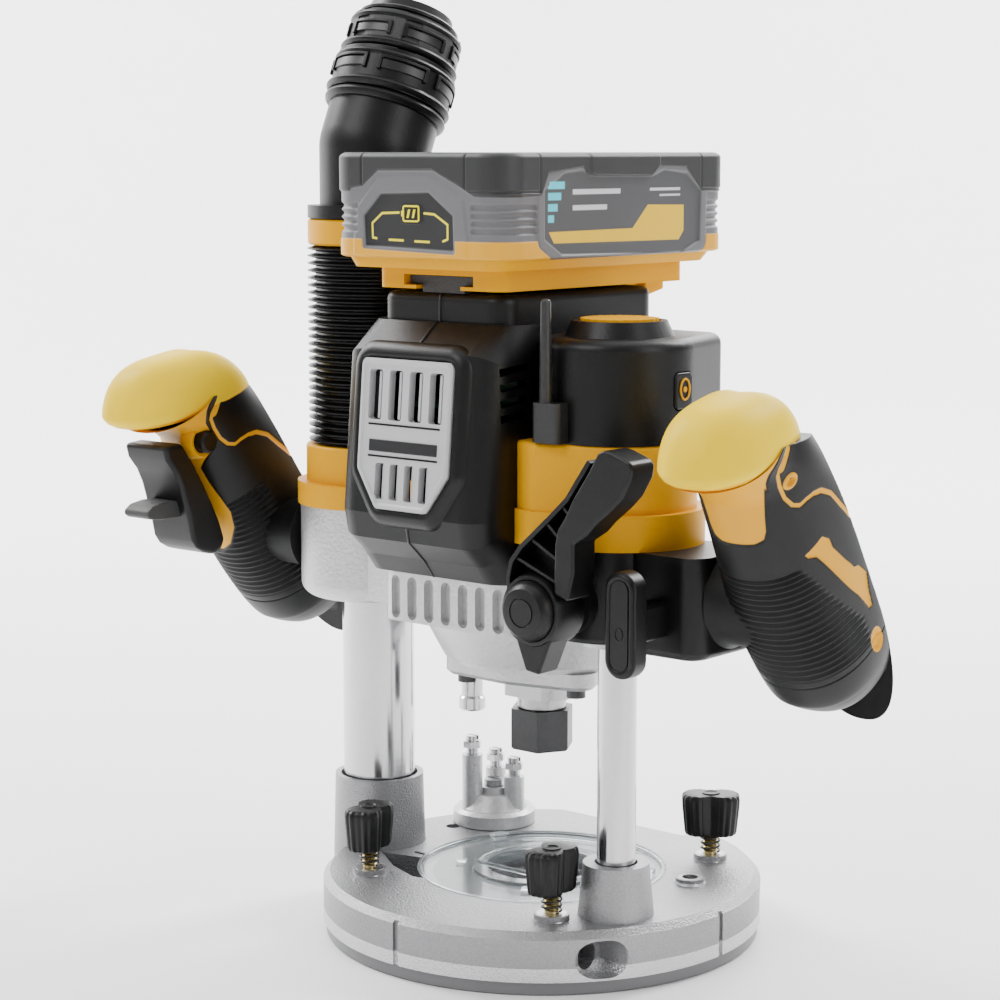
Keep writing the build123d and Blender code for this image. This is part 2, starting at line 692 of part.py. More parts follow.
with BuildPart() as rotor:
    with BuildSketch(Plane.XY.offset(136)):
        Circle(14)
        Circle(6, mode=Mode.SUBTRACT)
    extrude(amount=36)
    with BuildSketch(Plane.XY.offset(122)):
        Circle(34)
        Circle(6, mode=Mode.SUBTRACT)
    extrude(amount=1.6)
    with BuildSketch(Plane.XY.offset(123)):
        Circle(11)
        Circle(6, mode=Mode.SUBTRACT)
        with PolarLocations(22, 15):
            Rectangle(23, 1.4)
    extrude(amount=7)
    with BuildSketch(Plane.XY.offset(129)):
        Circle(9)
        Circle(6, mode=Mode.SUBTRACT)
    extrude(amount=8)
save(rotor.part, "rotor")

with BuildPart() as collet_nut:
    with BuildSketch(Plane.XY.offset(71)):
        RegularPolygon(11, 6, major_radius=False)
    extrude(amount=16)
    with BuildSketch(Plane.XY.offset(70)):
        Circle(13.2)
    extrude(amount=17.5, mode=Mode.INTERSECT)
    chamfer(collet_nut.faces().sort_by(Axis.Z)[0].edges(), 0.8)
    with BuildSketch(Plane.XY.offset(70)):
        Circle(7.2)
    extrude(amount=20, mode=Mode.SUBTRACT)
    with BuildSketch(Plane.XY.offset(75.6)):
        Circle(8 + FIT)
    extrude(amount=20, mode=Mode.SUBTRACT)
save(collet_nut.part, "collet_nut")

# --- rail for the battery, and the small post beside the motor cover ------------------------------
with BuildPart() as battery_rail:
    with BuildSketch(Plane.XY.offset(COVER_TOP)):
        with Locations((0, -13.5)):
            Rectangle(20, 87)
    extrude(amount=3)
    with BuildSketch(Plane.XY.offset(COVER_TOP + 3)):
        with Locations((0, -13.5)):
            Rectangle(32, 87)
    extrude(amount=3)
save(battery_rail.part, "battery_rail")

POST_X, POST_Y = 50.8, -61.6
with BuildPart() as side_post:
    with BuildSketch(at(52, -60.2, 199)):
        RectangleRounded(12, 7.6, 2)
    extrude(amount=14)
    with BuildSketch(at(POST_X, POST_Y, 213)):
        Circle(2.3)
    extrude(amount=36, taper=0.8)
    fillet(side_post.faces().sort_by(Axis.Z)[-1].edges(), 1.2)
    add(side_housing.part, mode=Mode.SUBTRACT)
    add(shell_outer.part, mode=Mode.SUBTRACT)
save(side_post.part, "side_post")

# --- handles --------------------------------------------------------------------------------------
# sections along a grip: distance from the middle, y, z, half width and half depth
GRIP = [(131.5, -53.5, 206, 19, 21.5), (131.5, -43.5, 189, 20, 24), (131.2, -32.7, 173, 21, 26.5),
        (130, -19.5, 152.5, 22.5, 27), (129.6, -7, 135, 22.5, 26), (129, 2.5, 124.5, 20, 24),
        (129, 7, 116, 12, 15)]
# sections of a cap: y, z, half width and half length
CAP_X = 131.6
CAP = [(-64, 187.5, 15, 26.5), (-65, 195, 18.5, 30), (-63.5, 206, 17.5, 28.5), (-61.5, 216, 12, 20),
       (-60, 221, 5, 9)]
CAP_CUT = Plane(origin=(0, -94, 186), z_dir=(0, -0.31, 0.95))
NECK_CUT = Plane(origin=(0, -41, 186), z_dir=(0, -0.56, 0.83))
TRIG_Y, TRIG_Z = -64.0, 152.0
BUTTON_Y, BUTTON_Z = -65.0, 187.0


def section_plane(side, index):
    """Plane of one grip section, square to the grip's middle line."""
    before, after = GRIP[max(0, index - 1)], GRIP[min(len(GRIP) - 1, index + 1)]
    x, y, z = GRIP[index][:3]
    normal = Vector(0, after[1] - before[1], after[2] - before[2]).normalized()
    return Plane(origin=(side * x, y, z), x_dir=(1, 0, 0), z_dir=normal)


def grip_solid(side, wall, first, last):
    """Body through the grip's sections, each made smaller by a wall thickness."""
    with BuildPart() as solid:
        for index in range(first, last + 1):
            with BuildSketch(section_plane(side, index)):
                Ellipse(GRIP[index][3] - wall, GRIP[index][4] - wall)
        loft()
    return solid.part


def cap_solid(side):
    """Body through the cap's sections."""
    with BuildPart() as solid:
        for y, z, half_width, half_length in CAP:
            with BuildSketch(at(side * CAP_X, y, z)):
                RectangleRounded(2 * half_width, 2 * half_length, 0.72 * half_width)
        loft()
    return solid.part


for side, word in (1, "right"), (-1, "left"):
    cap_body = cap_solid(side)
    grip_body = grip_solid(side, 0, 0, 6)
    with BuildPart() as handle:
        add(grip_body)
        with BuildSketch(Plane.YZ.offset(side * 108)):
            with Locations((-28, 146)):
                Circle(15.9)
        extrude(amount=side * 22)
        if side < 0:
            with BuildSketch(Plane.YZ.offset(-109)):
                with Locations((-24, 148)):
                    Circle(13)
            extrude(amount=28)
            for ear_x in (-HANDLE_X - 17.4, -HANDLE_X + 12.4):
                with BuildSketch(Plane.YZ.offset(ear_x)):
                    with Locations((TRIG_Y, TRIG_Z)):
                        Circle(5.5)
                    Polygon((-66, 148.6), (-62, 157.2), (-40, 168), (-36, 146), align=None)
                extrude(amount=5)
            with BuildSketch(at(*LEFT, 100)):
                Circle(31.5)
            extrude(amount=100, mode=Mode.SUBTRACT)
        add(grip_solid(side, 3.2, 0, 5), mode=Mode.SUBTRACT)
        if side < 0:
            with BuildSketch(Plane.YZ.offset(-HANDLE_X - 30)):
                with Locations((TRIG_Y, TRIG_Z)):
                    Circle(2 + FIT)
            extrude(amount=60, mode=Mode.SUBTRACT)
            with BuildSketch(Plane.YZ.offset(-HANDLE_X)):
                with Locations((BUTTON_Y, BUTTON_Z)):
                    Circle(4.5 + FIT)
            extrude(amount=30, mode=Mode.SUBTRACT)
        with BuildSketch(Plane.XY.offset(100)):
            with Locations((90, -28)):
                Rectangle(36.4, 60)
        extrude(amount=80, mode=Mode.SUBTRACT)
    with BuildPart() as neck:
        add(handle.part)
        split(bisect_by=NECK_CUT, keep=Keep.TOP)
    save(neck.part, f"{word}_neck")
    with BuildPart() as grip:
        add(handle.part)
        split(bisect_by=NECK_CUT, keep=Keep.BOTTOM)
    save(grip.part, f"{word}_grip")
    with BuildPart() as cap:
        add(cap_body)
        split(bisect_by=CAP_CUT, keep=Keep.TOP)
        add(grip_body, mode=Mode.SUBTRACT)
    save(cap.part, f"{word}_cap")

with BuildPart() as trigger:
    with BuildSketch(Plane.YZ.offset(-HANDLE_X - 12)):
        Polygon((-85, 185.5), (-84, 181), (-77, 170.5), (-71.5, 148.2), (-66, 144.2), (-60, 141.5),
                (-54.5, 147), (-58, 155), (-66, 170), (-77, 187), align=None)
    extrude(amount=24)
    with BuildSketch(Plane.YZ.offset(-HANDLE_X - 17.4)):
        with Locations((TRIG_Y, TRIG_Z)):
            Circle(2)
    extrude(amount=34.8)
    with BuildSketch(Plane.XZ.offset(66.5)):
        with Locations((-HANDLE_X, 161)):
            Rectangle(14 + 2 * FIT, 6 + 2 * FIT)
    extrude(amount=30, mode=Mode.SUBTRACT)
save(trigger.part, "trigger")

with BuildPart() as lock_off_tab:
    with BuildSketch(Plane.XZ.offset(70.5)):
        with Locations((-HANDLE_X, 161)):
            Rectangle(14, 6)
    extrude(amount=20)
    fillet(lock_off_tab.faces().sort_by(Axis.Y)[0].edges(), 1)
save(lock_off_tab.part, "lock_off_tab")

with BuildPart() as lock_on_button:
    with BuildSketch(Plane.YZ.offset(-HANDLE_X + 3)):
        with Locations((BUTTON_Y, BUTTON_Z)):
            Circle(4.5)
    extrude(amount=12)
    fillet(lock_on_button.faces().sort_by(Axis.X)[-1].edges(), 0.8)
save(lock_on_button.part, "lock_on_button")

# --- plunge lock lever and the spindle lock button -------------------------------------------------
with BuildPart() as plunge_lever:
    with BuildSketch(Plane.XZ.offset(60 + GAP)):
        with Locations((LEVER_X, LEVER_Z)):
            Circle(12.3)
    extrude(amount=21.5)
    with BuildSketch(Plane.XZ.offset(66)):
        Polygon((51.4, 160), (65.5, 175.4), (76.2, 190), (89.7, 200.5), (102.2, 196.5), (101.4, 191.5),
                (94, 180), (84.8, 172.5), (69, 150), (69, 138), (60, 126), (50, 140), align=None)
    extrude(amount=15)
    with BuildSketch(Plane.XZ.offset(46 + GAP)):
        with Locations((LEVER_X, LEVER_Z)):
            Circle(4)
    extrude(amount=16)
save(plunge_lever.part, "plunge_lever")

with BuildPart() as spindle_lock_button:
    with BuildSketch(Plane.XZ.offset(64)):
        with Locations((PLATE_X, 140.5)):
            RectangleRounded(13, 37, 6.4)
    extrude(amount=8)
    fillet(spindle_lock_button.faces().sort_by(Axis.Y)[0].edges(), 1.5)
    with BuildSketch(Plane.XZ.offset(40)):
        with Locations((PLATE_X, 140)):
            RectangleRounded(8.6, 12.6, 1.95)
    extrude(amount=24.5)
save(spindle_lock_button.part, "spindle_lock_button")

# --- depth rod with its foot and spring, clamp knob and fine adjuster ------------------------------
with BuildPart() as depth_rod:
    with BuildSketch(at(*ROD_CENTRE, 72)):
        Circle(5.5)
    extrude(amount=6)
    chamfer(depth_rod.edges(), 0.8)
    with BuildSketch(at(*ROD_CENTRE, 77)):
        Circle(3)
    extrude(amount=205 - 77)
    with BuildSketch(at(*ROD_CENTRE, 78)):
        Circle(4.4)
    extrude(amount=16)
save(depth_rod.part, "depth_rod")

with BuildPart() as depth_clamp_knob:
    with BuildSketch(Plane.XZ.offset(-ROD_CENTRE[1] - 3 - GAP)):
        with Locations((ROD_CENTRE[0], CLAMP_Z)):
            Circle(2.5)
    extrude(amount=-14)
    with BuildSketch(Plane.XZ.offset(-ROD_CENTRE[1] - 11)):
        with Locations((ROD_CENTRE[0], CLAMP_Z)):
            Circle(11)
            with PolarLocations(11.6, 8):
                Circle(2.2, mode=Mode.SUBTRACT)
    extrude(amount=-13)
save(depth_clamp_knob.part, "depth_clamp_knob")

with BuildPart() as fine_adjust_knob:
    with BuildSketch(at(*ROD_CENTRE, 205 + GAP)):
        Circle(9)
        with PolarLocations(9.2, 16):
            Circle(0.8, mode=Mode.SUBTRACT)
    extrude(amount=16)
save(fine_adjust_knob.part, "fine_adjust_knob")

# --- battery -----------------------------------------------------------------------------------------
PACK_Y0, PACK_Y1 = -72.0, 62.0
PACK_MID = (PACK_Y0 + PACK_Y1) / 2
PACK_L = PACK_Y1 - PACK_Y0
LATCH_Z = 246.0

with BuildPart() as battery_case:
    with BuildSketch(at(0, PACK_MID - 1, 258)):
        RectangleRounded(72, PACK_L - 8, 8)
    with BuildSketch(at(0, PACK_MID, 264)):
        RectangleRounded(79, PACK_L - 1, 9.5)
    loft()
    with BuildSketch(at(0, PACK_MID, 264)):
        RectangleRounded(80, PACK_L, 10)
    extrude(amount=6)
    with BuildSketch(at(0, -5, 250.3)):
        RectangleRounded(60, 110, 5)
    extrude(amount=8)
    with BuildSketch(at(0, PACK_MID, 261)):
        RectangleRounded(70, PACK_L - 10, 6)
    extrude(amount=12, mode=Mode.SUBTRACT)
    # slot for the rail, open at the front
    with BuildSketch(Plane.XZ.offset(-31)):
        with Locations((0, 253.5)):
            Rectangle(33, 3.8)
        with Locations((0, 250)):
            Rectangle(21, 6)
    extrude(amount=100, mode=Mode.SUBTRACT)
    # wedge under the back end with a hole for the release button
    with BuildSketch(Plane.YZ.offset(-14)):
        Polygon((33, 259), (60, 259), (38, 236), (34.5, 236), align=None)
    extrude(amount=28)
    with BuildSketch(Plane.XZ.offset(-30)):
        with Locations((0, LATCH_Z)):
            Rectangle(16 + 2 * FIT, 7 + 2 * FIT)
    extrude(amount=-40, mode=Mode.SUBTRACT)
save(battery_case.part, "battery_case")

with BuildPart() as battery_cover:
    with BuildSketch(at(0, PACK_MID, 270)):
        RectangleRounded(80, PACK_L, 10)
    extrude(amount=29)
    chamfer(battery_cover.faces().sort_by(Axis.Z)[-1].edges(), 2)
    with BuildSketch(at(0, PACK_MID, 270)):
        RectangleRounded(74, PACK_L - 6, 7)
    extrude(amount=26, mode=Mode.SUBTRACT)
    with BuildSketch(Plane.XZ.offset(60)):
        with Locations((0, 277)):
            Rectangle(9 + 2 * FIT, 7 + 2 * FIT)
    extrude(amount=20, mode=Mode.SUBTRACT)
save(battery_cover.part, "battery_cover")

with BuildPart() as battery_cells:
    with BuildSketch(at(0, PACK_MID + 4, 263)):
        with GridLocations(0, 22, 1, 5):
            Rectangle(64, 21)
    extrude(amount=30)
    with BuildSketch(at(0, PACK_MID + 4, 261)):
        Rectangle(60, 108)
    extrude(amount=2.5)
save(battery_cells.part, "battery_cells")

with BuildPart() as battery_release:
    with BuildSketch(Plane.XZ.offset(-38.5)):
        with Locations((0, LATCH_Z)):
            Rectangle(16, 7)
    extrude(amount=-13)
save(battery_release.part, "battery_release")

with BuildPart() as gauge_button:
    with BuildSketch(Plane.XZ.offset(66)):
        with Locations((0, 277)):
            Rectangle(9, 7)
    extrude(amount=6.6)
save(gauge_button.part, "gauge_button")

# --- bellows over the dust column, its top ring, and the elbow for the hose -------------------------
RIBS = 27
PITCH = (BELLOWS_TOP - BELLOWS_Z - GAP) / RIBS
with BuildPart() as bellows:
    with BuildSketch(Plane.XZ) as rib_profile:
        with BuildLine():
            outside = [(19.2, BELLOWS_Z + GAP)]
            for rib in range(RIBS):
                low = BELLOWS_Z + GAP + rib * PITCH
                outside += [(23.6, low + 0.12 * PITCH), (26.8, low + 0.42 * PITCH)]
                outside += [(26.8, low + 0.58 * PITCH), (23.6, low + 0.88 * PITCH)]
            outside += [(19.2, BELLOWS_TOP)]
            Polyline(*outside, close=True)
        make_face()
    bellows_solid = revolve(axis=Axis.Z, mode=Mode.PRIVATE)
    with Locations(LEFT):
        add(bellows_solid)
save(bellows.part, "bellows")

with BuildPart() as bellows_ring:
    with BuildSketch(at(*LEFT, BELLOWS_TOP)):
        Circle(26.6)
    extrude(amount=10)
    chamfer(bellows_ring.edges(), 0.8)
    with BuildSketch(at(*LEFT, BELLOWS_TOP - 1)):
        Circle(LEFT_R)
    extrude(amount=20, mode=Mode.SUBTRACT)
save(bellows_ring.part, "bellows_ring")

TUBE_R = 21.8
BEND_Z = 301.0
BEND = radians(23)
BEND_NORMAL = (0, sin(BEND), cos(BEND))


def along(distance):
    """Plane square to the tilted part of the elbow."""
    origin = (LEFT_X, LEFT_Y + distance * sin(BEND), BEND_Z + distance * cos(BEND))
    return Plane(origin=origin, x_dir=(1, 0, 0), z_dir=BEND_NORMAL)


with BuildPart() as dust_elbow:
    with BuildSketch(at(*LEFT, BELLOWS_TOP + 10 + GAP)):
        Circle(26.6)
    extrude(amount=5)
    with BuildSketch(at(*LEFT, BELLOWS_TOP + 12)):
        Circle(TUBE_R)
    extrude(amount=BEND_Z - BELLOWS_TOP - 12)
    with Locations((LEFT_X, LEFT_Y, BEND_Z)):
        Sphere(TUBE_R)
    with BuildSketch(along(0)):
        Circle(TUBE_R)
    extrude(amount=18)
    with BuildSketch(along(17)):
        Circle(23.5)
    extrude(amount=16)
    with BuildSketch(along(33)):
        Circle(19)
    extrude(amount=17)
    with BuildSketch(along(50)):
        Circle(18)
    extrude(amount=6, taper=14)
    # airway from the mouth down to the column
    with BuildSketch(at(*LEFT, BELLOWS_TOP + 5)):
        Circle(LEFT_R)
    extrude(amount=12, mode=Mode.SUBTRACT)
    with BuildSketch(at(*LEFT, BELLOWS_TOP + 16)):
        Circle(TUBE_R - 3)
    extrude(amount=BEND_Z - BELLOWS_TOP - 16, mode=Mode.SUBTRACT)
    with Locations((LEFT_X, LEFT_Y, BEND_Z)):
        Sphere(TUBE_R - 3, mode=Mode.SUBTRACT)
    with BuildSketch(along(0)):
        Circle(TUBE_R - 3)
    extrude(amount=28, mode=Mode.SUBTRACT)
    with BuildSketch(along(0)):
        Circle(14.4)
    extrude(amount=80, mode=Mode.SUBTRACT)
save(dust_elbow.part, "dust_elbow")

with BuildPart() as lock_ring:
    with BuildSketch(along(33 + GAP)):
        Circle(21.8)
        Circle(19 + FIT, mode=Mode.SUBTRACT)
        with PolarLocations(22.2, 6, start_angle=20):
            Rectangle(2.4, 7, mode=Mode.SUBTRACT)
    extrude(amount=15.5)
save(lock_ring.part, "lock_ring")
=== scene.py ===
"""Looks of the cordless plunge router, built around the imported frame. Metres, +Z up."""

import json
import math

import bmesh
import bpy
import numpy as np
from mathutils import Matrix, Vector


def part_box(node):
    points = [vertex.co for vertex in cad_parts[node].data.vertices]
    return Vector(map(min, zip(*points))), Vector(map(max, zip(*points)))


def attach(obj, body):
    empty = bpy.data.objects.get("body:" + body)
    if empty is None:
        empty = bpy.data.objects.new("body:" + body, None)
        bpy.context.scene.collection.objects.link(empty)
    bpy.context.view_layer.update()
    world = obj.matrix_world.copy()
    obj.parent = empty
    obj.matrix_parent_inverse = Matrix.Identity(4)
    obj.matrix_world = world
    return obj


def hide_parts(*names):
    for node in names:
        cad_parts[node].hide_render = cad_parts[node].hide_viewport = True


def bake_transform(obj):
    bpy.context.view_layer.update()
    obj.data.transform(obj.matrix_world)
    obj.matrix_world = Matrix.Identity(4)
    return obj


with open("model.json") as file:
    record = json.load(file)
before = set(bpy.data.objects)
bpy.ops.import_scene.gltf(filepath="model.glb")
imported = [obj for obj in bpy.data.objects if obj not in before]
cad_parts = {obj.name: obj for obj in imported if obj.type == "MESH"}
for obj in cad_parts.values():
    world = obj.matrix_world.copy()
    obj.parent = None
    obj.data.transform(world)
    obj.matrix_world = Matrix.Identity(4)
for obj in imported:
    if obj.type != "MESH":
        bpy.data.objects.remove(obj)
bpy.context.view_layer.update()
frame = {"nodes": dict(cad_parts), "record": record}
NODES = frame["nodes"]
MM = 0.001
scene = bpy.context.scene


# --- materials --------------------------------------------------------------------------------------
def srgb(r, g, b):
    """Linear colour from 0-255 values."""
    def lin(c):
        c /= 255.0
        return c / 12.92 if c <= 0.04045 else ((c + 0.055) / 1.055) ** 2.4
    return (lin(r), lin(g), lin(b), 1.0)


def material(name, colour, rough=0.5, metal=0.0, vary=0.12, grain=900.0, bump=0.03, blotch=14.0,
             rough_vary=0.08, spec=0.5):
    """Moulded, painted or cast surface: slow colour drift, fine grain in roughness and bump."""
    m = bpy.data.materials.new(name)
    m.use_nodes = True
    nt = m.node_tree
    bsdf = nt.nodes["Principled BSDF"]
    coord = nt.nodes.new("ShaderNodeTexCoord")
    slow = nt.nodes.new("ShaderNodeTexNoise")
    slow.inputs["Scale"].default_value = blotch
    slow.inputs["Detail"].default_value = 3
    nt.links.new(coord.outputs["Object"], slow.inputs["Vector"])
    fine = nt.nodes.new("ShaderNodeTexNoise")
    fine.inputs["Scale"].default_value = grain
    fine.inputs["Detail"].default_value = 2
    nt.links.new(coord.outputs["Object"], fine.inputs["Vector"])
    ramp = nt.nodes.new("ShaderNodeValToRGB")
    lo = tuple(c * (1 - vary) for c in colour[:3]) + (1,)
    hi = tuple(min(1, c * (1 + vary)) for c in colour[:3]) + (1,)
    ramp.color_ramp.elements[0].position = 0.3
    ramp.color_ramp.elements[0].color = lo
    ramp.color_ramp.elements[1].position = 0.7
    ramp.color_ramp.elements[1].color = hi
    mix = nt.nodes.new("ShaderNodeMath")
    mix.operation = "MULTIPLY_ADD"
    mix.inputs[1].default_value = 0.45
    nt.links.new(fine.outputs["Fac"], mix.inputs[0])
    half = nt.nodes.new("ShaderNodeMath")
    half.operation = "MULTIPLY"
    half.inputs[1].default_value = 0.55
    nt.links.new(slow.outputs["Fac"], half.inputs[0])
    nt.links.new(half.outputs[0], mix.inputs[2])
    nt.links.new(mix.outputs[0], ramp.inputs["Fac"])
    nt.links.new(ramp.outputs["Color"], bsdf.inputs["Base Color"])
    rr = nt.nodes.new("ShaderNodeMapRange")
    rr.inputs["To Min"].default_value = max(0.02, rough - rough_vary)
    rr.inputs["To Max"].default_value = min(1, rough + rough_vary)
    nt.links.new(mix.outputs[0], rr.inputs["Value"])
    nt.links.new(rr.outputs["Result"], bsdf.inputs["Roughness"])
    bsdf.inputs["Metallic"].default_value = metal
    bsdf.inputs["Specular IOR Level"].default_value = spec
    bp = nt.nodes.new("ShaderNodeBump")
    bp.inputs["Strength"].default_value = bump * 10
    bp.inputs["Distance"].default_value = 0.00012
    nt.links.new(fine.outputs["Fac"], bp.inputs["Height"])
    nt.links.new(bp.outputs["Normal"], bsdf.inputs["Normal"])
    return m


def brushed(name, colour, rough=0.25, stretch=(1, 1, 60), scale=220.0, metal=1.0):
    """Turned or drawn metal with fine lines along one direction."""
    m = material(name, colour, rough, metal, vary=0.06, grain=400, bump=0.01)
    nt = m.node_tree
    bsdf = nt.nodes["Principled BSDF"]
    coord = nt.nodes.new("ShaderNodeTexCoord")
    mapping = nt.nodes.new("ShaderNodeMapping")
    mapping.inputs["Scale"].default_value = stretch
    lines = nt.nodes.new("ShaderNodeTexNoise")
    lines.inputs["Scale"].default_value = scale
    nt.links.new(coord.outputs["Object"], mapping.inputs["Vector"])
    nt.links.new(mapping.outputs["Vector"], lines.inputs["Vector"])
    rr = nt.nodes.new("ShaderNodeMapRange")
    rr.inputs["To Min"].default_value = rough * 0.7
    rr.inputs["To Max"].default_value = rough * 1.4
    nt.links.new(lines.outputs["Fac"], rr.inputs["Value"])
    nt.links.new(rr.outputs["Result"], bsdf.inputs["Roughness"])
    return m


AMBER_RGB = (0.72, 0.34, 0.0, 1)
LEMON_RGB = (0.84, 0.57, 0.0, 1)
BLACK = material("black_plastic", srgb(8, 8, 9), 0.40, spec=0.30, vary=0.10, grain=1400, bump=0.05)
BLACK_SOFT = material("black_overmould", srgb(8, 8, 9), 0.50, spec=0.25, vary=0.08, grain=1800, bump=0.06)
RUBBER = material("bellows_rubber", srgb(10, 10, 11), 0.36, spec=0.32, vary=0.08, grain=900, bump=0.03)
AMBER = material("amber_plastic", AMBER_RGB, 0.42, spec=0.08, vary=0.05, grain=1500, bump=0.03,
                 blotch=9)
LEMON = material("lemon_plastic", LEMON_RGB, 0.42, spec=0.06, vary=0.04, grain=1500, bump=0.02,
                 blotch=9)
GREY = material("grey_plastic", srgb(126, 126, 129), 0.5, vary=0.06, grain=1500, bump=0.03)
LIGHT_GREY = material("light_grey_plastic", srgb(182, 182, 184), 0.42, vary=0.05, grain=1500, bump=0.03)
CHARCOAL = material("charcoal_plastic", srgb(52, 52, 53), 0.6, vary=0.18, grain=900, bump=0.16)
PANEL = material("dark_panel", srgb(26, 26, 28), 0.35, vary=0.06, grain=1500, bump=0.02)
SUB = material("sub_base_plastic", srgb(104, 104, 106), 0.32, vary=0.05, grain=1200, bump=0.02)
CAST = material("cast_alloy", srgb(196, 196, 197), 0.42, metal=0.75, vary=0.12, grain=700, bump=0.18)
STEEL = brushed("turned_steel", srgb(170, 170, 172), 0.28)
CHROME = brushed("ground_steel", srgb(196, 196, 198), 0.16, stretch=(60, 60, 1), scale=300)
DARK_STEEL = material("black_steel", srgb(62, 62, 63), 0.36, metal=0.7, vary=0.12, grain=700, bump=0.05)
BRASS = brushed("turned_brass", srgb(214, 196, 140), 0.3)
COPPER = brushed("copper_winding", srgb(190, 110, 66), 0.35)
BOARD = material("circuit_board", srgb(30, 90, 52), 0.45, vary=0.15, grain=500, bump=0.05)
DECK = material("cast_deck", srgb(150, 150, 152), 0.40, metal=0.85, vary=0.22, grain=1300, bump=0.30)


def machined_band(m, low, high, colour, rough):
    """Turned band between two heights on a cast material."""
    nt = m.node_tree
    bsdf = nt.nodes["Principled BSDF"]
    coord = nt.nodes.new("ShaderNodeTexCoord")
    split = nt.nodes.new("ShaderNodeSeparateXYZ")
    nt.links.new(coord.outputs["Object"], split.inputs[0])
    above = nt.nodes.new("ShaderNodeMath")
    above.operation = "GREATER_THAN"
    above.inputs[1].default_value = low * MM
    below = nt.nodes.new("ShaderNodeMath")
    below.operation = "LESS_THAN"
    below.inputs[1].default_value = high * MM
    both = nt.nodes.new("ShaderNodeMath")
    both.operation = "MULTIPLY"
    nt.links.new(split.outputs["Z"], above.inputs[0])
    nt.links.new(split.outputs["Z"], below.inputs[0])
    nt.links.new(above.outputs[0], both.inputs[0])
    nt.links.new(below.outputs[0], both.inputs[1])
    for key, value, kind in (("Base Color", colour, "RGBA"), ("Roughness", rough, "FLOAT")):
        mix = nt.nodes.new("ShaderNodeMix")
        mix.data_type = kind
        first, second, out = (6, 7, 2) if kind == "RGBA" else (2, 3, 0)
        nt.links.new(both.outputs[0], mix.inputs[0])
        nt.links.new(bsdf.inputs[key].links[0].from_socket, mix.inputs[first])
        mix.inputs[second].default_value = value
        nt.links.new(mix.outputs[out], bsdf.inputs[key])


machined_band(DECK, 5.2, 10.3, srgb(205, 205, 207), 0.24)


def clear_material(name):
    """Clear moulded plastic with faint haze."""
    m = material(name, srgb(232, 238, 240), 0.10, vary=0.02, grain=500, bump=0.01)
    bsdf = m.node_tree.nodes["Principled BSDF"]
    bsdf.inputs["Transmission Weight"].default_value = 0.93
    bsdf.inputs["IOR"].default_value = 1.3
    return m


CLEAR = clear_material("clear_plastic")

MATERIAL_OF = {
    "cast_alloy": CAST, "base_alloy": DECK, "black_plastic": BLACK, "amber_plastic": AMBER,
               "lemon_plastic": LEMON,
    "grey_plastic": GREY, "charcoal_plastic": CHARCOAL, "light_grey_plastic": LIGHT_GREY,
               "sub_base_plastic": SUB,
    "bright_steel": CHROME, "dark_steel": DARK_STEEL, "steel": STEEL, "brass": BRASS, "rubber": RUBBER,
    "clear_plastic": CLEAR, "winding": COPPER, "board_green": BOARD}
SLOT_OF = {s["node"]: s["material_slot"] for s in frame["record"]["subparts"]}
for node, obj in NODES.items():
    chosen = MATERIAL_OF[SLOT_OF[node]]
    if not obj.material_slots:
        obj.data.materials.append(chosen)
    for s in obj.material_slots:
        s.material = chosen

# --- camera, light, floor ---------------------------------------------------------------------------
camera_data = bpy.data.cameras.new("camera")
camera_data.lens = 88.43
camera_data.sensor_width = 36
camera = bpy.data.objects.new("camera", camera_data)
scene.collection.objects.link(camera)
camera.location = (0.5827, -0.7240, 0.2999)
aim = Vector((-0.00957, -0.01389, 0.16814)) - camera.location
camera.rotation_euler = aim.to_track_quat("-Z", "Y").to_euler()
scene.camera = camera


def area_light(name, location, target, size, power, colour=(1, 1, 1)):
    data = bpy.data.lights.new(name, "AREA")
    data.shape = "RECTANGLE"
    data.size, data.size_y = size
    data.energy = power
    data.color = colour
    o = bpy.data.objects.new(name, data)
    scene.collection.objects.link(o)
    o.location = location
    o.rotation_euler = (Vector(target) - Vector(location)).to_track_quat("-Z", "Y").to_euler()
    return o


area_light("key", (-0.35, -1.2, 1.25), (0, 0, 0.18), (0.9, 0.7), 14)
area_light("top", (0.1, 0.1, 1.6), (0, 0, 0.1), (1.4, 1.4), 12)
area_light("side", (1.35, -0.1, 0.75), (0, 0, 0.15), (0.5, 1.1), 9)
area_light("left", (-1.3, -0.2, 0.6), (0, 0, 0.15), (0.6, 1.1), 8)
area_light("back", (-0.5, 1.3, 0.9), (0, 0, 0.2), (1.0, 0.6), 10)

world = bpy.data.worlds.new("world")
scene.world = world
world.use_nodes = True
world.node_tree.nodes["Background"].inputs["Color"].default_value = (1, 1, 1, 1)
world.node_tree.nodes["Background"].inputs["Strength"].default_value = 0.44

# floor that curves up into a wall behind the object
away = Vector((-0.64, 0.768, 0))
across = Vector((away.y, -away.x, 0))
profile = [(-4.0, 0.0), (1.4, 0.0)]
profile += [(1.4 + 1.6 * math.sin(math.radians(a)),
             1.6 - 1.6 * math.cos(math.radians(a))) for a in range(5, 95, 5)]
profile += [(3.0, 5.0)]
floor_verts = [tuple(away * d + across * w + Vector((0, 0, h))) for d, h in profile for w in (-6, 6)]
floor_mesh = bpy.data.meshes.new("floor")
floor_mesh.from_pydata(floor_verts, [],
                       [(2 * i, 2 * i + 1, 2 * i + 3, 2 * i + 2) for i in range(len(profile) - 1)])
floor_mesh.shade_smooth()
floor = bpy.data.objects.new("floor", floor_mesh)
scene.collection.objects.link(floor)
floor.data.materials.append(material("pale_floor", (0.94, 0.94, 0.94, 1), 0.6, vary=0.01, grain=60,
                                     bump=0.0))
wall_spot = away * 2.6
area_light("backdrop_a", tuple(away * 1.3 + across * 1.6 + Vector((0, 0, 1.9))),
           tuple(wall_spot + Vector((0, 0, 0.7))),
           (1.2, 1.2), 150)
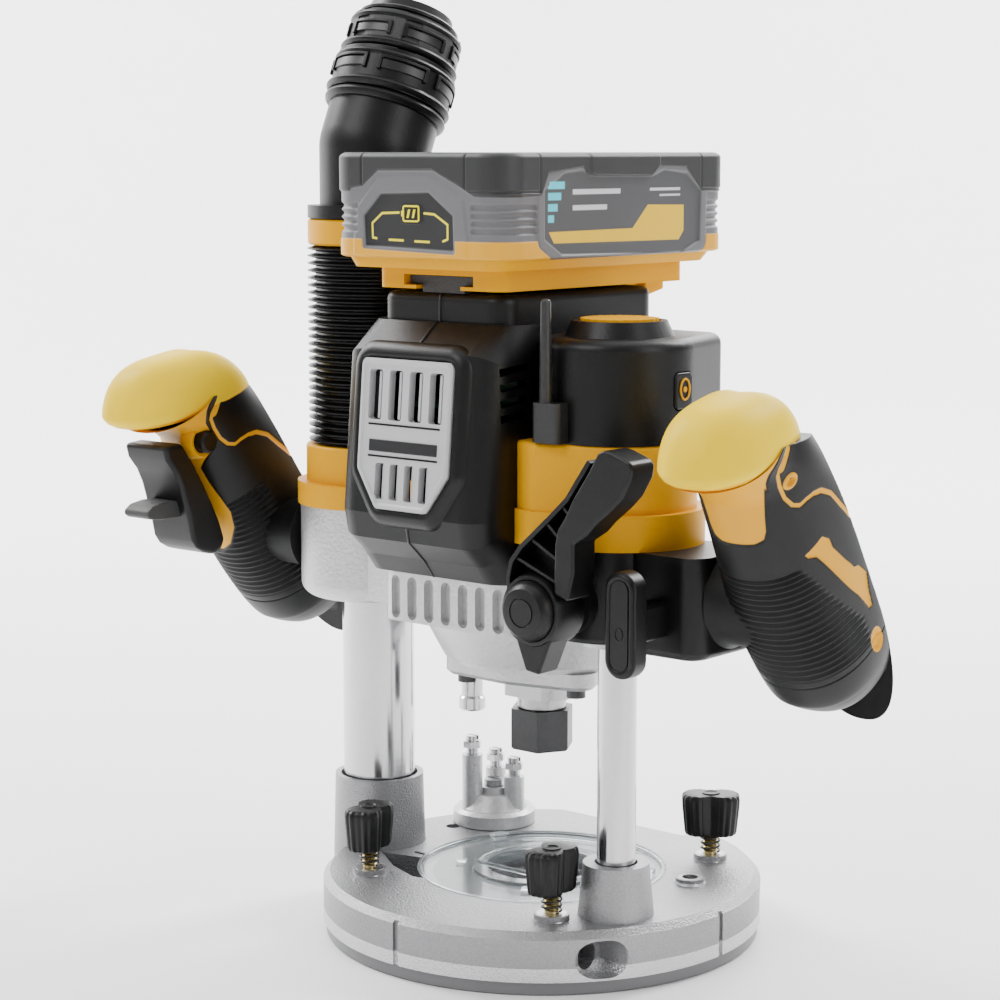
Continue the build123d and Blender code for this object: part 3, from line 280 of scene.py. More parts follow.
area_light("backdrop_b", tuple(away * 1.3 - across * 1.6 + Vector((0, 0, 1.9))),
           tuple(wall_spot + Vector((0, 0, 0.7))),
           (1.2, 1.2), 150)


# --- mesh helpers: coordinates in millimetres --------------------------------------------------------
def new_mesh(name, verts, faces, mat, body, smooth=35, bevel=0.0, segments=3):
    """Mesh object from points in millimetres, riding on a body."""
    mesh = bpy.data.meshes.new(name)
    mesh.from_pydata([(v[0] * MM, v[1] * MM, v[2] * MM) for v in verts], [], faces)
    bm = bmesh.new()
    bm.from_mesh(mesh)
    bmesh.ops.recalc_face_normals(bm, faces=bm.faces)
    bm.to_mesh(mesh)
    bm.free()
    obj = bpy.data.objects.new(name, mesh)
    scene.collection.objects.link(obj)
    mesh.materials.append(mat)
    mesh.shade_smooth()
    mesh.set_sharp_from_angle(angle=math.radians(smooth))
    if bevel:
        mod = obj.modifiers.new("edges", "BEVEL")
        mod.width = bevel * MM
        mod.segments = segments
        mod.limit_method = "ANGLE"
        mod.angle_limit = math.radians(32)
        mod.harden_normals = True
    if body:
        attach(obj, body)
    return obj


def ring_faces(rows, cols):
    """Faces between rings of points that follow one another."""
    return [(i * cols + j, i * cols + (j + 1) % cols, (i + 1) * cols + (j + 1) % cols, (i + 1) * cols + j)
            for i in range(rows - 1) for j in range(cols)]


def rrect(cx, cy, w, h, r, n=6):
    """Outline of a rounded rectangle."""
    pts = []
    for k, (sx, sy) in enumerate(((1, 1), (-1, 1), (-1, -1), (1, -1))):
        for i in range(n + 1):
            a = math.radians(90 * k + 90 * i / n)
            pts.append((cx + sx * (w / 2 - r) + r * math.cos(a), cy + sy * (h / 2 - r) + r * math.sin(a)))
    return pts


def prism(name, outline, plane, lo, hi, mat, body, bevel=0.6, segments=3):
    """Outline drawn in a plane and extruded from lo to hi, with rounded edges."""
    put = {"XY": lambda a, b, c: (a, b, c), "YZ": lambda a, b, c: (c, a, b), "XZ": lambda a, b,
           c: (a, c, b)}[plane]
    n = len(outline)
    verts = [put(a, b, lo) for a, b in outline] + [put(a, b, hi) for a, b in outline]
    faces = [tuple(range(n)), tuple(range(2 * n - 1, n - 1, -1))]
    faces += [(i, (i + 1) % n, n + (i + 1) % n, n + i) for i in range(n)]
    return new_mesh(name, verts, faces, mat, body, bevel=bevel, segments=segments)


def lathe(name, profile, centre, axis, mat, body, steps=72, smooth=35, bevel=0.0):
    """Closed profile of (radius, height) turned about an axis through a centre."""
    z = Vector(axis).normalized()
    x = z.orthogonal().normalized()
    y = z.cross(x)
    c = Vector(centre)
    verts, faces = [], []
    for i in range(steps):
        a = 2 * math.pi * i / steps
        d = x * math.cos(a) + y * math.sin(a)
        verts += [tuple(c + d * r + z * h) for r, h in profile]
    n = len(profile)
    for i in range(steps):
        j = (i + 1) % steps
        for k in range(n):
            m = (k + 1) % n
            faces.append((i * n + k, j * n + k, j * n + m, i * n + m))
    return new_mesh(name, verts, faces, mat, body, smooth=smooth, bevel=bevel)


def tube(name, path, radius, mat, body, steps=12, closed=False):
    """Round bar along a list of points."""
    pts = [Vector(p) for p in path]
    n = len(pts)
    verts, faces = [], []
    up = None
    for i, p in enumerate(pts):
        ahead = pts[(i + 1) % n] if closed or i < n - 1 else p
        behind = pts[i - 1] if closed or i > 0 else p
        t = (ahead - behind).normalized()
        up = t.orthogonal().normalized() if up is None else (up - t * up.dot(t)).normalized()
        side = t.cross(up)
        for k in range(steps):
            a = 2 * math.pi * k / steps
            verts.append(tuple(p + (up * math.cos(a) + side * math.sin(a)) * radius))
    for i in range(n if closed else n - 1):
        j = (i + 1) % n
        for k in range(steps):
            m = (k + 1) % steps
            faces.append((i * steps + k, j * steps + k, j * steps + m, i * steps + m))
    if not closed:
        faces.append(tuple(range(steps)))
        faces.append(tuple(range((n - 1) * steps, n * steps)))
    return new_mesh(name, verts, faces, mat, body, smooth=60)


def tone(m, attribute, colour, lo=-0.15, hi=0.15, vary=0.05):
    """Second colour on a material where a vertex attribute, in millimetres, is positive."""
    nt = m.node_tree
    bsdf = nt.nodes["Principled BSDF"]
    att = nt.nodes.new("ShaderNodeAttribute")
    att.attribute_name = attribute
    mask = nt.nodes.new("ShaderNodeMapRange")
    mask.inputs["From Min"].default_value = lo
    mask.inputs["From Max"].default_value = hi
    nt.links.new(att.outputs["Fac"], mask.inputs["Value"])
    noise = nt.nodes.new("ShaderNodeTexNoise")
    noise.inputs["Scale"].default_value = 30
    coord = nt.nodes.new("ShaderNodeTexCoord")
    nt.links.new(coord.outputs["Object"], noise.inputs["Vector"])
    ramp = nt.nodes.new("ShaderNodeValToRGB")
    ramp.color_ramp.elements[0].color = tuple(c * (1 - vary) for c in colour[:3]) + (1,)
    ramp.color_ramp.elements[1].color = tuple(min(1, c * (1 + vary)) for c in colour[:3]) + (1,)
    nt.links.new(noise.outputs["Fac"], ramp.inputs["Fac"])
    mix = nt.nodes.new("ShaderNodeMix")
    mix.data_type = "RGBA"
    source = bsdf.inputs["Base Color"].links[0].from_socket
    nt.links.new(mask.outputs["Result"], mix.inputs[0])
    nt.links.new(source, mix.inputs[6])
    nt.links.new(ramp.outputs["Color"], mix.inputs[7])
    nt.links.new(mix.outputs[2], bsdf.inputs["Base Color"])
    return m


def inside(points, polygon):
    """Signed distance of points to a polygon, positive inside it."""
    p = np.asarray(points, float)
    q = np.asarray(polygon, float)
    best = np.full(len(p), 1e9)
    winding = np.zeros(len(p), bool)
    for a, b in zip(q, np.roll(q, -1, axis=0)):
        ab = b - a
        t = np.clip(((p - a) @ ab) / max(ab @ ab, 1e-9), 0, 1)
        best = np.minimum(best, np.hypot(*(p - (a + t[:, None] * ab)).T))
        crosses = (a[1] > p[:, 1]) != (b[1] > p[:, 1])
        with np.errstate(divide="ignore", invalid="ignore"):
            at_x = (b[0] - a[0]) * (p[:, 1] - a[1]) / (b[1] - a[1]) + a[0]
        winding ^= crosses & (p[:, 0] < at_x)
    return np.where(winding, best, -best)


def near_line(points, line):
    """Distance of points to an open line."""
    p = np.asarray(points, float)
    q = np.asarray(line, float)
    best = np.full(len(p), 1e9)
    for a, b in zip(q[:-1], q[1:]):
        ab = b - a
        t = np.clip(((p - a) @ ab) / max(ab @ ab, 1e-9), 0, 1)
        best = np.minimum(best, np.hypot(*(p - (a + t[:, None] * ab)).T))
    return best


def step(x, lo, hi):
    """Smooth step from 0 at lo to 1 at hi."""
    t = np.clip((x - lo) / (hi - lo), 0, 1)
    return t * t * (3 - 2 * t)


def attribute(obj, name, values):
    """Stores one number for each vertex."""
    layer = obj.data.attributes.new(name, "FLOAT", "POINT")
    layer.data.foreach_set("value", np.asarray(values, np.float32))


# --- handles: one surface each, from sections along the grip ------------------------------------------
# distance from the middle, y, z, half width, half depth
SECTIONS = np.array([(131.5, -59.5, 209.1, 18.0, 16.5), (131.5, -52.6, 199.2, 19.5, 19.5),
                     (131.5, -44.3, 188.5, 20, 23),
                     (131.2, -32.7, 173, 21, 26.5), (130, -19.5, 152.5, 22.5, 27),
                     (129.6, -7, 135, 22.5, 26),
                     (129, 2.5, 124.5, 20.8, 24.6), (129, 8.6, 116.6, 15.2, 18.2),
                     (129, 10.2, 114.2, 7, 9)])


def section(t):
    """Interpolated sections, for an array of places along the grip."""
    t = np.clip(np.asarray(t, float), 0, len(SECTIONS) - 1.0001)
    i = t.astype(int)
    f = (t - i)[..., None]
    last = len(SECTIONS) - 1
    p0, p1 = SECTIONS[np.maximum(i - 1, 0)], SECTIONS[i]
    p2, p3 = SECTIONS[np.minimum(i + 1, last)], SECTIONS[np.minimum(i + 2, last)]
    return 0.5 * (2 * p1 + (p2 - p0) * f + (2 * p0 - 5 * p1 + 4 * p2 - p3) * f ** 2
                  + (-p0 + 3 * p1 - 3 * p2 + p3) * f ** 3)


def grip_point(side, t, theta, lift=0.0, power=2.25):
    """Points on a grip: t along it, theta in degrees round it, 0 on its outer side and 270 at its front."""
    t = np.asarray(t, float)
    th = np.radians(np.asarray(theta, float))
    c = section(t)
    d = section(np.minimum(t + 0.03, 7.99)) - section(np.maximum(t - 0.03, 0))
    length = np.hypot(d[..., 1], d[..., 2])
    ty, tz = d[..., 1] / length, d[..., 2] / length
    ct, st = np.cos(th), np.sin(th)
    ca = np.sign(ct) * np.abs(ct) ** (2 / power)
    sa = np.sign(st) * np.abs(st) ** (2 / power)
    a, b = c[..., 3] + lift, c[..., 4] + lift
    return np.stack([side * (c[..., 0] + a * ca), c[..., 1] - tz * b * sa, c[..., 2] + ty * b * sa],
                    axis=-1)


TRIM = [(0.23, 350), (0.38, 340), (0.50, 331), (0.66, 326.5), (0.97, 325.5), (1.35, 327), (1.65, 332),
        (1.80, 339),
        (1.81, 347), (1.88, 356), (2.02, 363), (2.31, 371), (2.67, 375), (2.99, 380), (3.03, 388),
        (2.9, 398)]
SLOT_LINE = [(0.30, 349), (0.42, 340.5), (0.56, 332.5)]
PLATE = [(2.72, 347), (2.87, 352), (3.05, 352), (3.63, 363), (3.69, 368), (3.92, 374), (4.16, 369),
         (4.44, 366.5),
         (4.41, 363), (4.04, 359), (2.95, 336), (2.90, 332), (2.86, 328.5), (2.78, 327)]
NECK_PLAIN = [(-0.5, 332), (0.18, 331), (0.44, 317), (0.82, 310), (1.55, 303), (1.97, 300), (2.12, 296),
              (2.18, 286),
              (2.18, 254), (2.12, 244), (1.97, 240), (1.55, 237), (0.82, 230), (0.44, 223), (0.18, 209),
              (-0.5, 208)]
NECK_TRIGGER = [(-0.5, 200), (0, 204), (0.32, 214), (0.7, 221), (1.08, 220), (1.55, 227), (1.8, 242),
                (1.98, 249),
                (2.37, 246), (2.78, 241), (3.16, 238), (3.46, 243), (3.74, 257), (3.86, 270), (3.74, 283),
                (3.46, 297), (3.16, 302), (2.78, 299), (2.37, 294), (1.98, 291), (1.8, 298), (1.55, 313),
                (1.08, 320), (0.7, 319), (0.32, 326), (0, 336), (-0.5, 340)]
T_MM, TH_MM = 20.0, 0.42
# amber above the edge of the overmould, just under the lid, in three turns of the angle
TOP_EDGE = [(-0.6, 300), (0.9, 312), (0.62, 313), (0.35, 320), (0.18, 328), (0.06, 338), (0.0, 352),
            (0.05, 362),
            (0.42, 362), (0.46, 368), (0.12, 372), (-0.02, 384), (-0.05, 450), (-0.6, 450)]
LID_EDGE = [TOP_EDGE, [(t, 540 - th) for t, th in TOP_EDGE], [(t, 900 - th) for t, th in TOP_EDGE]]


def flat(pairs):
    """Places on a grip as millimetres, for distances."""
    return [(t * T_MM, th * TH_MM) for t, th in pairs]


def make_grip(side, name, body, nodes, neck):
    """Grip with its neck: ribs, moulded-in trim, boss, plate and a raised overmould."""
    ts = np.concatenate([np.linspace(0, 2.7, 110), np.linspace(2.72, 5.2, 236),
                         np.linspace(5.22, 7.98, 84)])
    ths = np.linspace(140, 500, 300, endpoint=False)
    tt, th = np.meshgrid(ts, ths, indexing="ij")
    flat_t, flat_th = tt.ravel(), th.ravel()
    place = np.stack([flat_t * T_MM, flat_th * TH_MM], axis=1)
    mirror = np.stack([flat_t * T_MM, (540 - flat_th) * TH_MM], axis=1)
    mirror2 = np.stack([flat_t * T_MM, (900 - flat_th) * TH_MM], axis=1)
    amber = inside(place, flat(neck))
    for polygon in LID_EDGE:
        amber = np.maximum(amber, inside(place, flat(polygon)))
    lines = np.minimum(near_line(place, flat(TRIM)), near_line(mirror, flat(TRIM)))
    lines = np.minimum(lines, near_line(mirror2, flat(TRIM)))
    trim = 0.85 - lines
    slots = np.minimum(near_line(place, flat(SLOT_LINE)), near_line(mirror, flat(SLOT_LINE)))
    slots = 1.9 - np.minimum(slots, near_line(mirror2, flat(SLOT_LINE)))
    boss = np.hypot(*(place - np.array(flat([(1.03, 338)])[0])).T)
    plate = inside(place, flat(PLATE))
    oval = 1 - np.hypot((place[:, 0] - 5.10 * T_MM) / 6.0, (place[:, 1] - 360 * TH_MM) / 2.7)
    tone_value = np.maximum.reduce([amber, trim, slots, 3.9 - boss, plate, 3 * oval])
    # heights: overmould stands above the hard plastic, ribs are cut into it
    lift = 0.5 * step(-amber, 0.0, 0.7) - 0.25 * step(trim, -0.3, 0.3) - 0.35 * step(slots, -0.3, 0.6)
    lift += -1.6 * step(2.3 - boss, 0, 0.8) + 0.5 * step(3.9 - boss, 0, 0.6) - 0.5 * step(plate, -0.2, 0.3)
    lift += -1.5 * step(3 * oval, 0, 1.2)
    arc = np.concatenate([[0], np.cumsum(np.hypot(*np.diff(section(ts)[:, 1:3], axis=0).T))])
    along = np.repeat(arc, len(ths))
    start = np.interp(2.93, ts, arc)
    stop = np.interp(4.98, ts, arc)
    wave = 0.5 - 0.5 * np.cos(2 * np.pi * (along - start) / 2.42)
    edge = 318 + 40 * np.clip((flat_t - 2.8) / 1.6, 0, 1)
    keep = step(flat_th, 192, 204) * step(edge - flat_th, 0, 9) * step(along, start - 0.5, start + 0.8)
    keep *= step(stop - along, 0, 0.8) * step(-amber, 0.2, 1.6) * step(-plate, 0.5, 1.5)
    lift -= 0.85 * keep * wave ** 0.8
    lift -= 0.55 * step(0.35 - np.abs(along - np.interp(5.10, ts, arc)), 0, 0.25)
    # flare of the neck under the front of the lid
    lift += 15 * np.clip(1 - flat_t / 1.3, 0, 1) ** 1.6 * np.clip(-np.sin(np.radians(flat_th)), 0, 1) ** 1.5
    pts = grip_point(side, flat_t, flat_th, lift)
    ceiling = 208.5 + 0.10 * (pts[:, 1] + 31.6) - 1.8 * np.maximum(0, pts[:, 1] + 41)
    pts[:, 2] = np.minimum(pts[:, 2], ceiling)
    rows, cols = len(ts), len(ths)
    faces = ring_faces(rows, cols)
    faces.append(tuple(range((rows - 1) * cols, rows * cols)))
    obj = new_mesh(name, pts, faces, GRIP_MAT, body, smooth=180)
    attribute(obj, "tone", tone_value)
    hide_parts(*nodes)
    return obj


GRIP_MAT = tone(material("grip_overmould", srgb(8, 8, 9), 0.44, spec=0.3, vary=0.08, grain=1800, bump=0.05),
                "tone", AMBER_RGB)
make_grip(1, "right_handle_body", "carriage", ("right_grip", "right_neck"), NECK_PLAIN)
make_grip(-1, "left_handle_body", "carriage", ("left_grip", "left_neck"), NECK_TRIGGER)


# lid: middle, half length and width, height of the dome, outward turn and slope of its rim
LID_X, LID_Y = 131.6, -66.5
LID_HALF_LENGTH, LID_HALF_WIDTH, LID_RISE = 29.6, 19.4, 19.3
LID_TURN, RIM_SLOPE = 0.096, 0.19


def make_cap(side, name, node):
    """Lid over the top of the handle: a dome on a tilted edge, amber under it and lemon above."""
    levels = [(0.84, -1.6), (0.93, -1.0), (0.975, -0.45)] + [None] * 40
    cols = 132
    verts, marks = [], []
    for i, level in enumerate(levels):
        for j in range(cols):
            a = 2 * math.pi * j / cols
            c, s = math.cos(a), math.sin(a)
            ux = math.copysign(abs(c) ** 0.74, c)
            uy = math.copysign(abs(s) ** 0.74, s)
            if level:
                f, drop = level
                rise = 0.0
            else:
                f = math.cos(math.radians(88.5 * (i - 3) / 39)) ** 0.62
                drop = 0.0
                wf, wb, ws = max(0, -s) ** 2, max(0, s) ** 2, c * c
                p = 4.4 * wf + 1.9 * wb + 2.9 * ws
                q = 0.55 * wf + 0.85 * wb + 0.44 * ws
                rise = LID_RISE * max(0.0, 1 - f ** p) ** q
            y = LID_Y + LID_HALF_LENGTH * f * uy
            wide = LID_HALF_WIDTH - 1.0 * max(0, -uy * f) ** 2 - 0.8 * max(0, uy * f) ** 2
            x = wide * f * ux - LID_TURN * (y - LID_Y)
            middle = 195.6 + RIM_SLOPE * (y + 101)
            verts.append((side * (LID_X + x), y, middle + rise + drop * (2.6 - 0.3 * uy)))
            marks.append(192.0 + 0.30 * (y + 96) - verts[-1][2])
    n = len(levels)
    faces = ring_faces(n, cols)
    faces.append(tuple(range(cols)))
    faces.append(tuple(range((n - 1) * cols, n * cols)))
    obj = new_mesh(name, verts, faces, CAP_MAT, "carriage", smooth=180)
    attribute(obj, "tone", marks)
    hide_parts(node)
    return obj


CAP_MAT = tone(material("cap_lemon", LEMON_RGB, 0.42, spec=0.06, vary=0.03, grain=1500,
                        bump=0.02, blotch=9), "tone", AMBER_RGB)
make_cap(1, "right_lid", "right_cap")
make_cap(-1, "left_lid", "left_cap")

# arms from the grips to the carriage
for side, x0, x1, y, z, r in ((1, 107.5, 128, -28, 146, 16.2), (-1, 96.5, 124, -24, 148, 13.5)):
    lathe("arm_right" if side > 0 else "arm_left",
          [(r + 1.8, 0), (r, 3), (r - 0.5, x1 - x0), (1, x1 - x0), (1, 0)],
          (side * x0, y, z), (side, 0, 0), BLACK_SOFT, "carriage")

# screw in the boss of the right handle
boss_at = grip_point(1, np.array([1.03]), np.array([338.0]), -1.3)[0]
boss_out = grip_point(1, np.array([1.03]), np.array([338.0]), 1.0)[0] - boss_at
lathe("handle_screw_right",
      [(0.05, 0.1), (0.8, 0.1), (0.9, 0.9), (2.0, 0.9), (2.2, 0.5), (2.2, 0), (0.05, 0)],
      tuple(boss_at), tuple(boss_out), DARK_STEEL, "carriage", steps=24)

# --- trigger, tab and button on the left handle --------------------------------------------------------
TRIGGER_SIDE = [(-86.2, 186.6), (-84.6, 181), (-80.5, 176), (-77.8, 170.5), (-75.2, 162), (-73.2, 155),
                (-71.8, 148.6),
                (-69.4, 145.2), (-65.5, 143), (-60.5, 141.5), (-56.5, 143.5), (-54.5, 147), (-57.5, 155),
                (-61.5, 163),
                (-66, 171), (-71.5, 180), (-77, 187.5)]
trigger_blade = prism("trigger_blade", TRIGGER_SIDE, "YZ", -141, -117, BLACK, "trigger", bevel=3.2,
                      segments=5)
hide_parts("trigger")
tab = prism("safety_tab",
            [(-91.2, 159.6), (-89.5, 158.4), (-84, 157.6), (-70.5, 157.8), (-70.5, 164.2), (-82, 164.4),
                           (-88, 163.4), (-91, 161.4)], "YZ", -136, -122, CHARCOAL, "lock_off", bevel=0.8)
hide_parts("lock_off_tab")
lathe("lock_on_ring", [(4.8, 2.0), (6.0, 2.4), (6.9, 1.0), (7.4, -3), (4.8, -3)], (-120.5, -65, 187),
      (1, 0, 0),
      AMBER, "carriage", steps=48)
lock_on = lathe("lock_on_knob", [(0.05, 7.0), (3.4, 7.0), (4.3, 6.2), (4.5, 5), (4.5, -4), (0.05, -4)],
                (-121.0, -65, 187), (1, 0, 0), BLACK, "lock_on", steps=48)
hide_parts("lock_on_button")

def loops(name, rows, mat, body, caps=(True, True), smooth=35, bevel=0.0):
    """Skin over rows of points; each row is a closed loop with the same number of points."""
    n = len(rows[0])
    verts = [p for row in rows for p in row]
    faces = [(i * n + j, i * n + (j + 1) % n, (i + 1) * n + (j + 1) % n, (i + 1) * n + j)
             for i in range(len(rows) - 1) for j in range(n)]
    if caps[0]:
        faces.append(tuple(range(n)))
    if caps[1]:
        faces.append(tuple(range((len(rows) - 1) * n, len(rows) * n)))
    return new_mesh(name, verts, faces, mat, body, smooth=smooth, bevel=bevel)


def round_poly(corners, radius, n=8):
    """Convex polygon with rounded corners, anticlockwise."""
    pts = []
    m = len(corners)
    for i, c in enumerate(corners):
        a, b = Vector(corners[i - 1]), Vector(corners[(i + 1) % m])
        c = Vector(c)
        u, v = (a - c).normalized(), (b - c).normalized()
        half = u.angle(v) / 2
        cut = min(radius / math.tan(half), (a - c).length * 0.48, (b - c).length * 0.48)
        centre = c + (u + v).normalized() * (cut / math.cos(half))
        r = cut * math.tan(half)
        s0, s1 = c + u * cut - centre, c + v * cut - centre
        a0 = math.atan2(s0.y, s0.x)
        turn = math.atan2(s1.y, s1.x) - a0
        turn = (turn + math.pi) % (2 * math.pi) - math.pi
        for k in range(n + 1):
            w = a0 + turn * k / n
            pts.append((centre.x + r * math.cos(w), centre.y + r * math.sin(w)))
    return pts


def grow(points, d):
    """Outline moved outwards along its own normals."""
    n = len(points)
    out = []
    for i in range(n):
        a, b = Vector(points[i - 1]), Vector(points[(i + 1) % n])
        t = (b - a).normalized() if (b - a).length > 1e-6 else Vector((1, 0))
        out.append((points[i][0] + t.y * d, points[i][1] - t.x * d))
    return out


def ring_band(name, outline, put, levels, mat, body):
    """Closed moulding along an outline: levels are (growth, height) round its section."""
    rows = [[put(p, h) for p in grow(outline, g)] for g, h in levels]
    rows.append(rows[0])
    return loops(name, rows, mat, body, caps=(False, False), smooth=40)


# faces of a block from its four lower and four upper corners
BOX_FACES = [(0, 1, 2, 3), (7, 6, 5, 4), (0, 1, 5, 4), (1, 2, 6, 5), (2, 3, 7, 6), (3, 0, 4, 7)]


def blocks(name, parts, mat, body, bevel=0.0, smooth=35):
    """One mesh from several lists of vertices and faces."""
    verts, faces = [], []
    for v, f in parts:
        k = len(verts)
        verts += v
        faces += [tuple(i + k for i in face) for face in f]
    return new_mesh(name, verts, faces, mat, body, smooth=smooth, bevel=bevel)


def arc_block(centre, axis, r0, r1, s0, s1, a0, a1, n=12):
    """Curved block round an axis, angles in degrees."""
    z = Vector(axis).normalized()
    x = z.orthogonal().normalized() if abs(z.z) < 0.999 else Vector((1, 0, 0))
    if abs(z.x) < 1e-6:
        x = Vector((1, 0, 0))
    y = z.cross(x)
    c = Vector(centre)
    v, f = [], []
    for i in range(n + 1):
        a = math.radians(a0 + (a1 - a0) * i / n)
        d = x * math.cos(a) + y * math.sin(a)
        v += [tuple(c + d * r + z * s) for r, s in ((r0, s0), (r1, s0), (r1, s1), (r0, s1))]
    for i in range(n):
        f += [(4 * i + k, 4 * i + (k + 1) % 4, 4 * i + 4 + (k + 1) % 4, 4 * i + 4 + k) for k in range(4)]
    f += [(0, 1, 2, 3), (4 * n + 3, 4 * n + 2, 4 * n + 1, 4 * n)]
    return v, f


# --- battery: skin over the cover and the upper edge of the case --------------------------------------
def battery_outline():
    """Points round the pack: outward normals, a face number and the length from the nearest corner."""
    x0, y0, y1, r = 40.0, -72.0, 62.0, 10.0
    rows = []
    arc = r * math.pi / 2

    def corner(cx, cy, a0, face):
        for k in range(1, 30):
            a = math.radians(a0 + 90 * k / 30)
            rows.append((cx + r * math.cos(a), cy + r * math.sin(a), math.cos(a), math.sin(a), face,
                         arc * (k / 30 - 0.5)))
    for k in range(201):
        x = -30 + 60 * k / 200
        rows.append((x, y0, 0, -1, 0, max(x - 30, -30 - x) - arc / 2))
    corner(30, y0 + 10, -90, 4)
    for k in range(301):
        y = -62 + 114 * k / 300
        rows.append((x0, y, 1, 0, 1, min(y + 62, 52 - y) + arc / 2))
    corner(30, y1 - 10, 0, 5)
    for k in range(61):
        x = 30 - 60 * k / 60
        rows.append((x, y1, 0, 1, 2, 40 + arc / 2))
    corner(-30, y1 - 10, 90, 5)
    for k in range(301):
        y = 52 - 114 * k / 300
        rows.append((-x0, y, -1, 0, 3, min(y + 62, 52 - y) + arc / 2))
    corner(-30, y0 + 10, 180, 6)
    return np.array(rows)


GAUGE = [(-23.6, 276.8), (-15.5, 284.5), (7.1, 285.1), (18.3, 277.1), (18.7, 264.8), (-23.0, 266.0)]
SURROUND = [(-28.9, 262), (-28.3, 278.5), (-16.5, 290.7), (7.3, 291.2), (23.5, 282.7), (25.3, 270.7),
            (25.3, 262)]
ARCH = [[(-18.2, 268.6), (-20.0, 268.8), (-20.2, 274.0), (-15.4, 277.6), (-7.4, 277.9)],
        [(4.6, 277.8), (9.4, 277.5), (15.5, 274.0), (15.5, 268.9), (13.4, 268.2)],
        [(-12.0, 268.2), (-5.4, 268.1)], [(0.3, 267.9), (6.9, 267.8)]]
LABEL = [(-50.5, 286.1), (-39.3, 292), (-29.3, 292.9), (-22, 290.7), (12.6, 290.4), (20.4, 292.9),
         (34.7, 291.5),
         (43.9, 284.9), (43.3, 266.1), (32, 261.7), (-40.6, 263.1), (-50.4, 268.7)]
STRIPE = [(-47.6, 271.3), (-44.6, 267.3), (30.3, 266.7), (33.4, 270), (33.4, 279.6), (10.8, 280),
          (1.5, 271.6)]
FRONT_EDGE = [(-60, 285.6), (-34, 285.6), (-24.3, 287.1), (-16.9, 292.6), (9, 292.8), (21.9, 287.0),
              (28.5, 283.8),
              (60, 283.6)]
SIDE_EDGE = [(-80, 283.6), (-52.4, 284.0), (-48.6, 291.6), (-28.9, 293.7), (-25, 290.6), (12, 290.2),
             (16.4, 293.6),
             (34, 293.4), (44.3, 284.6), (80, 284.3)]


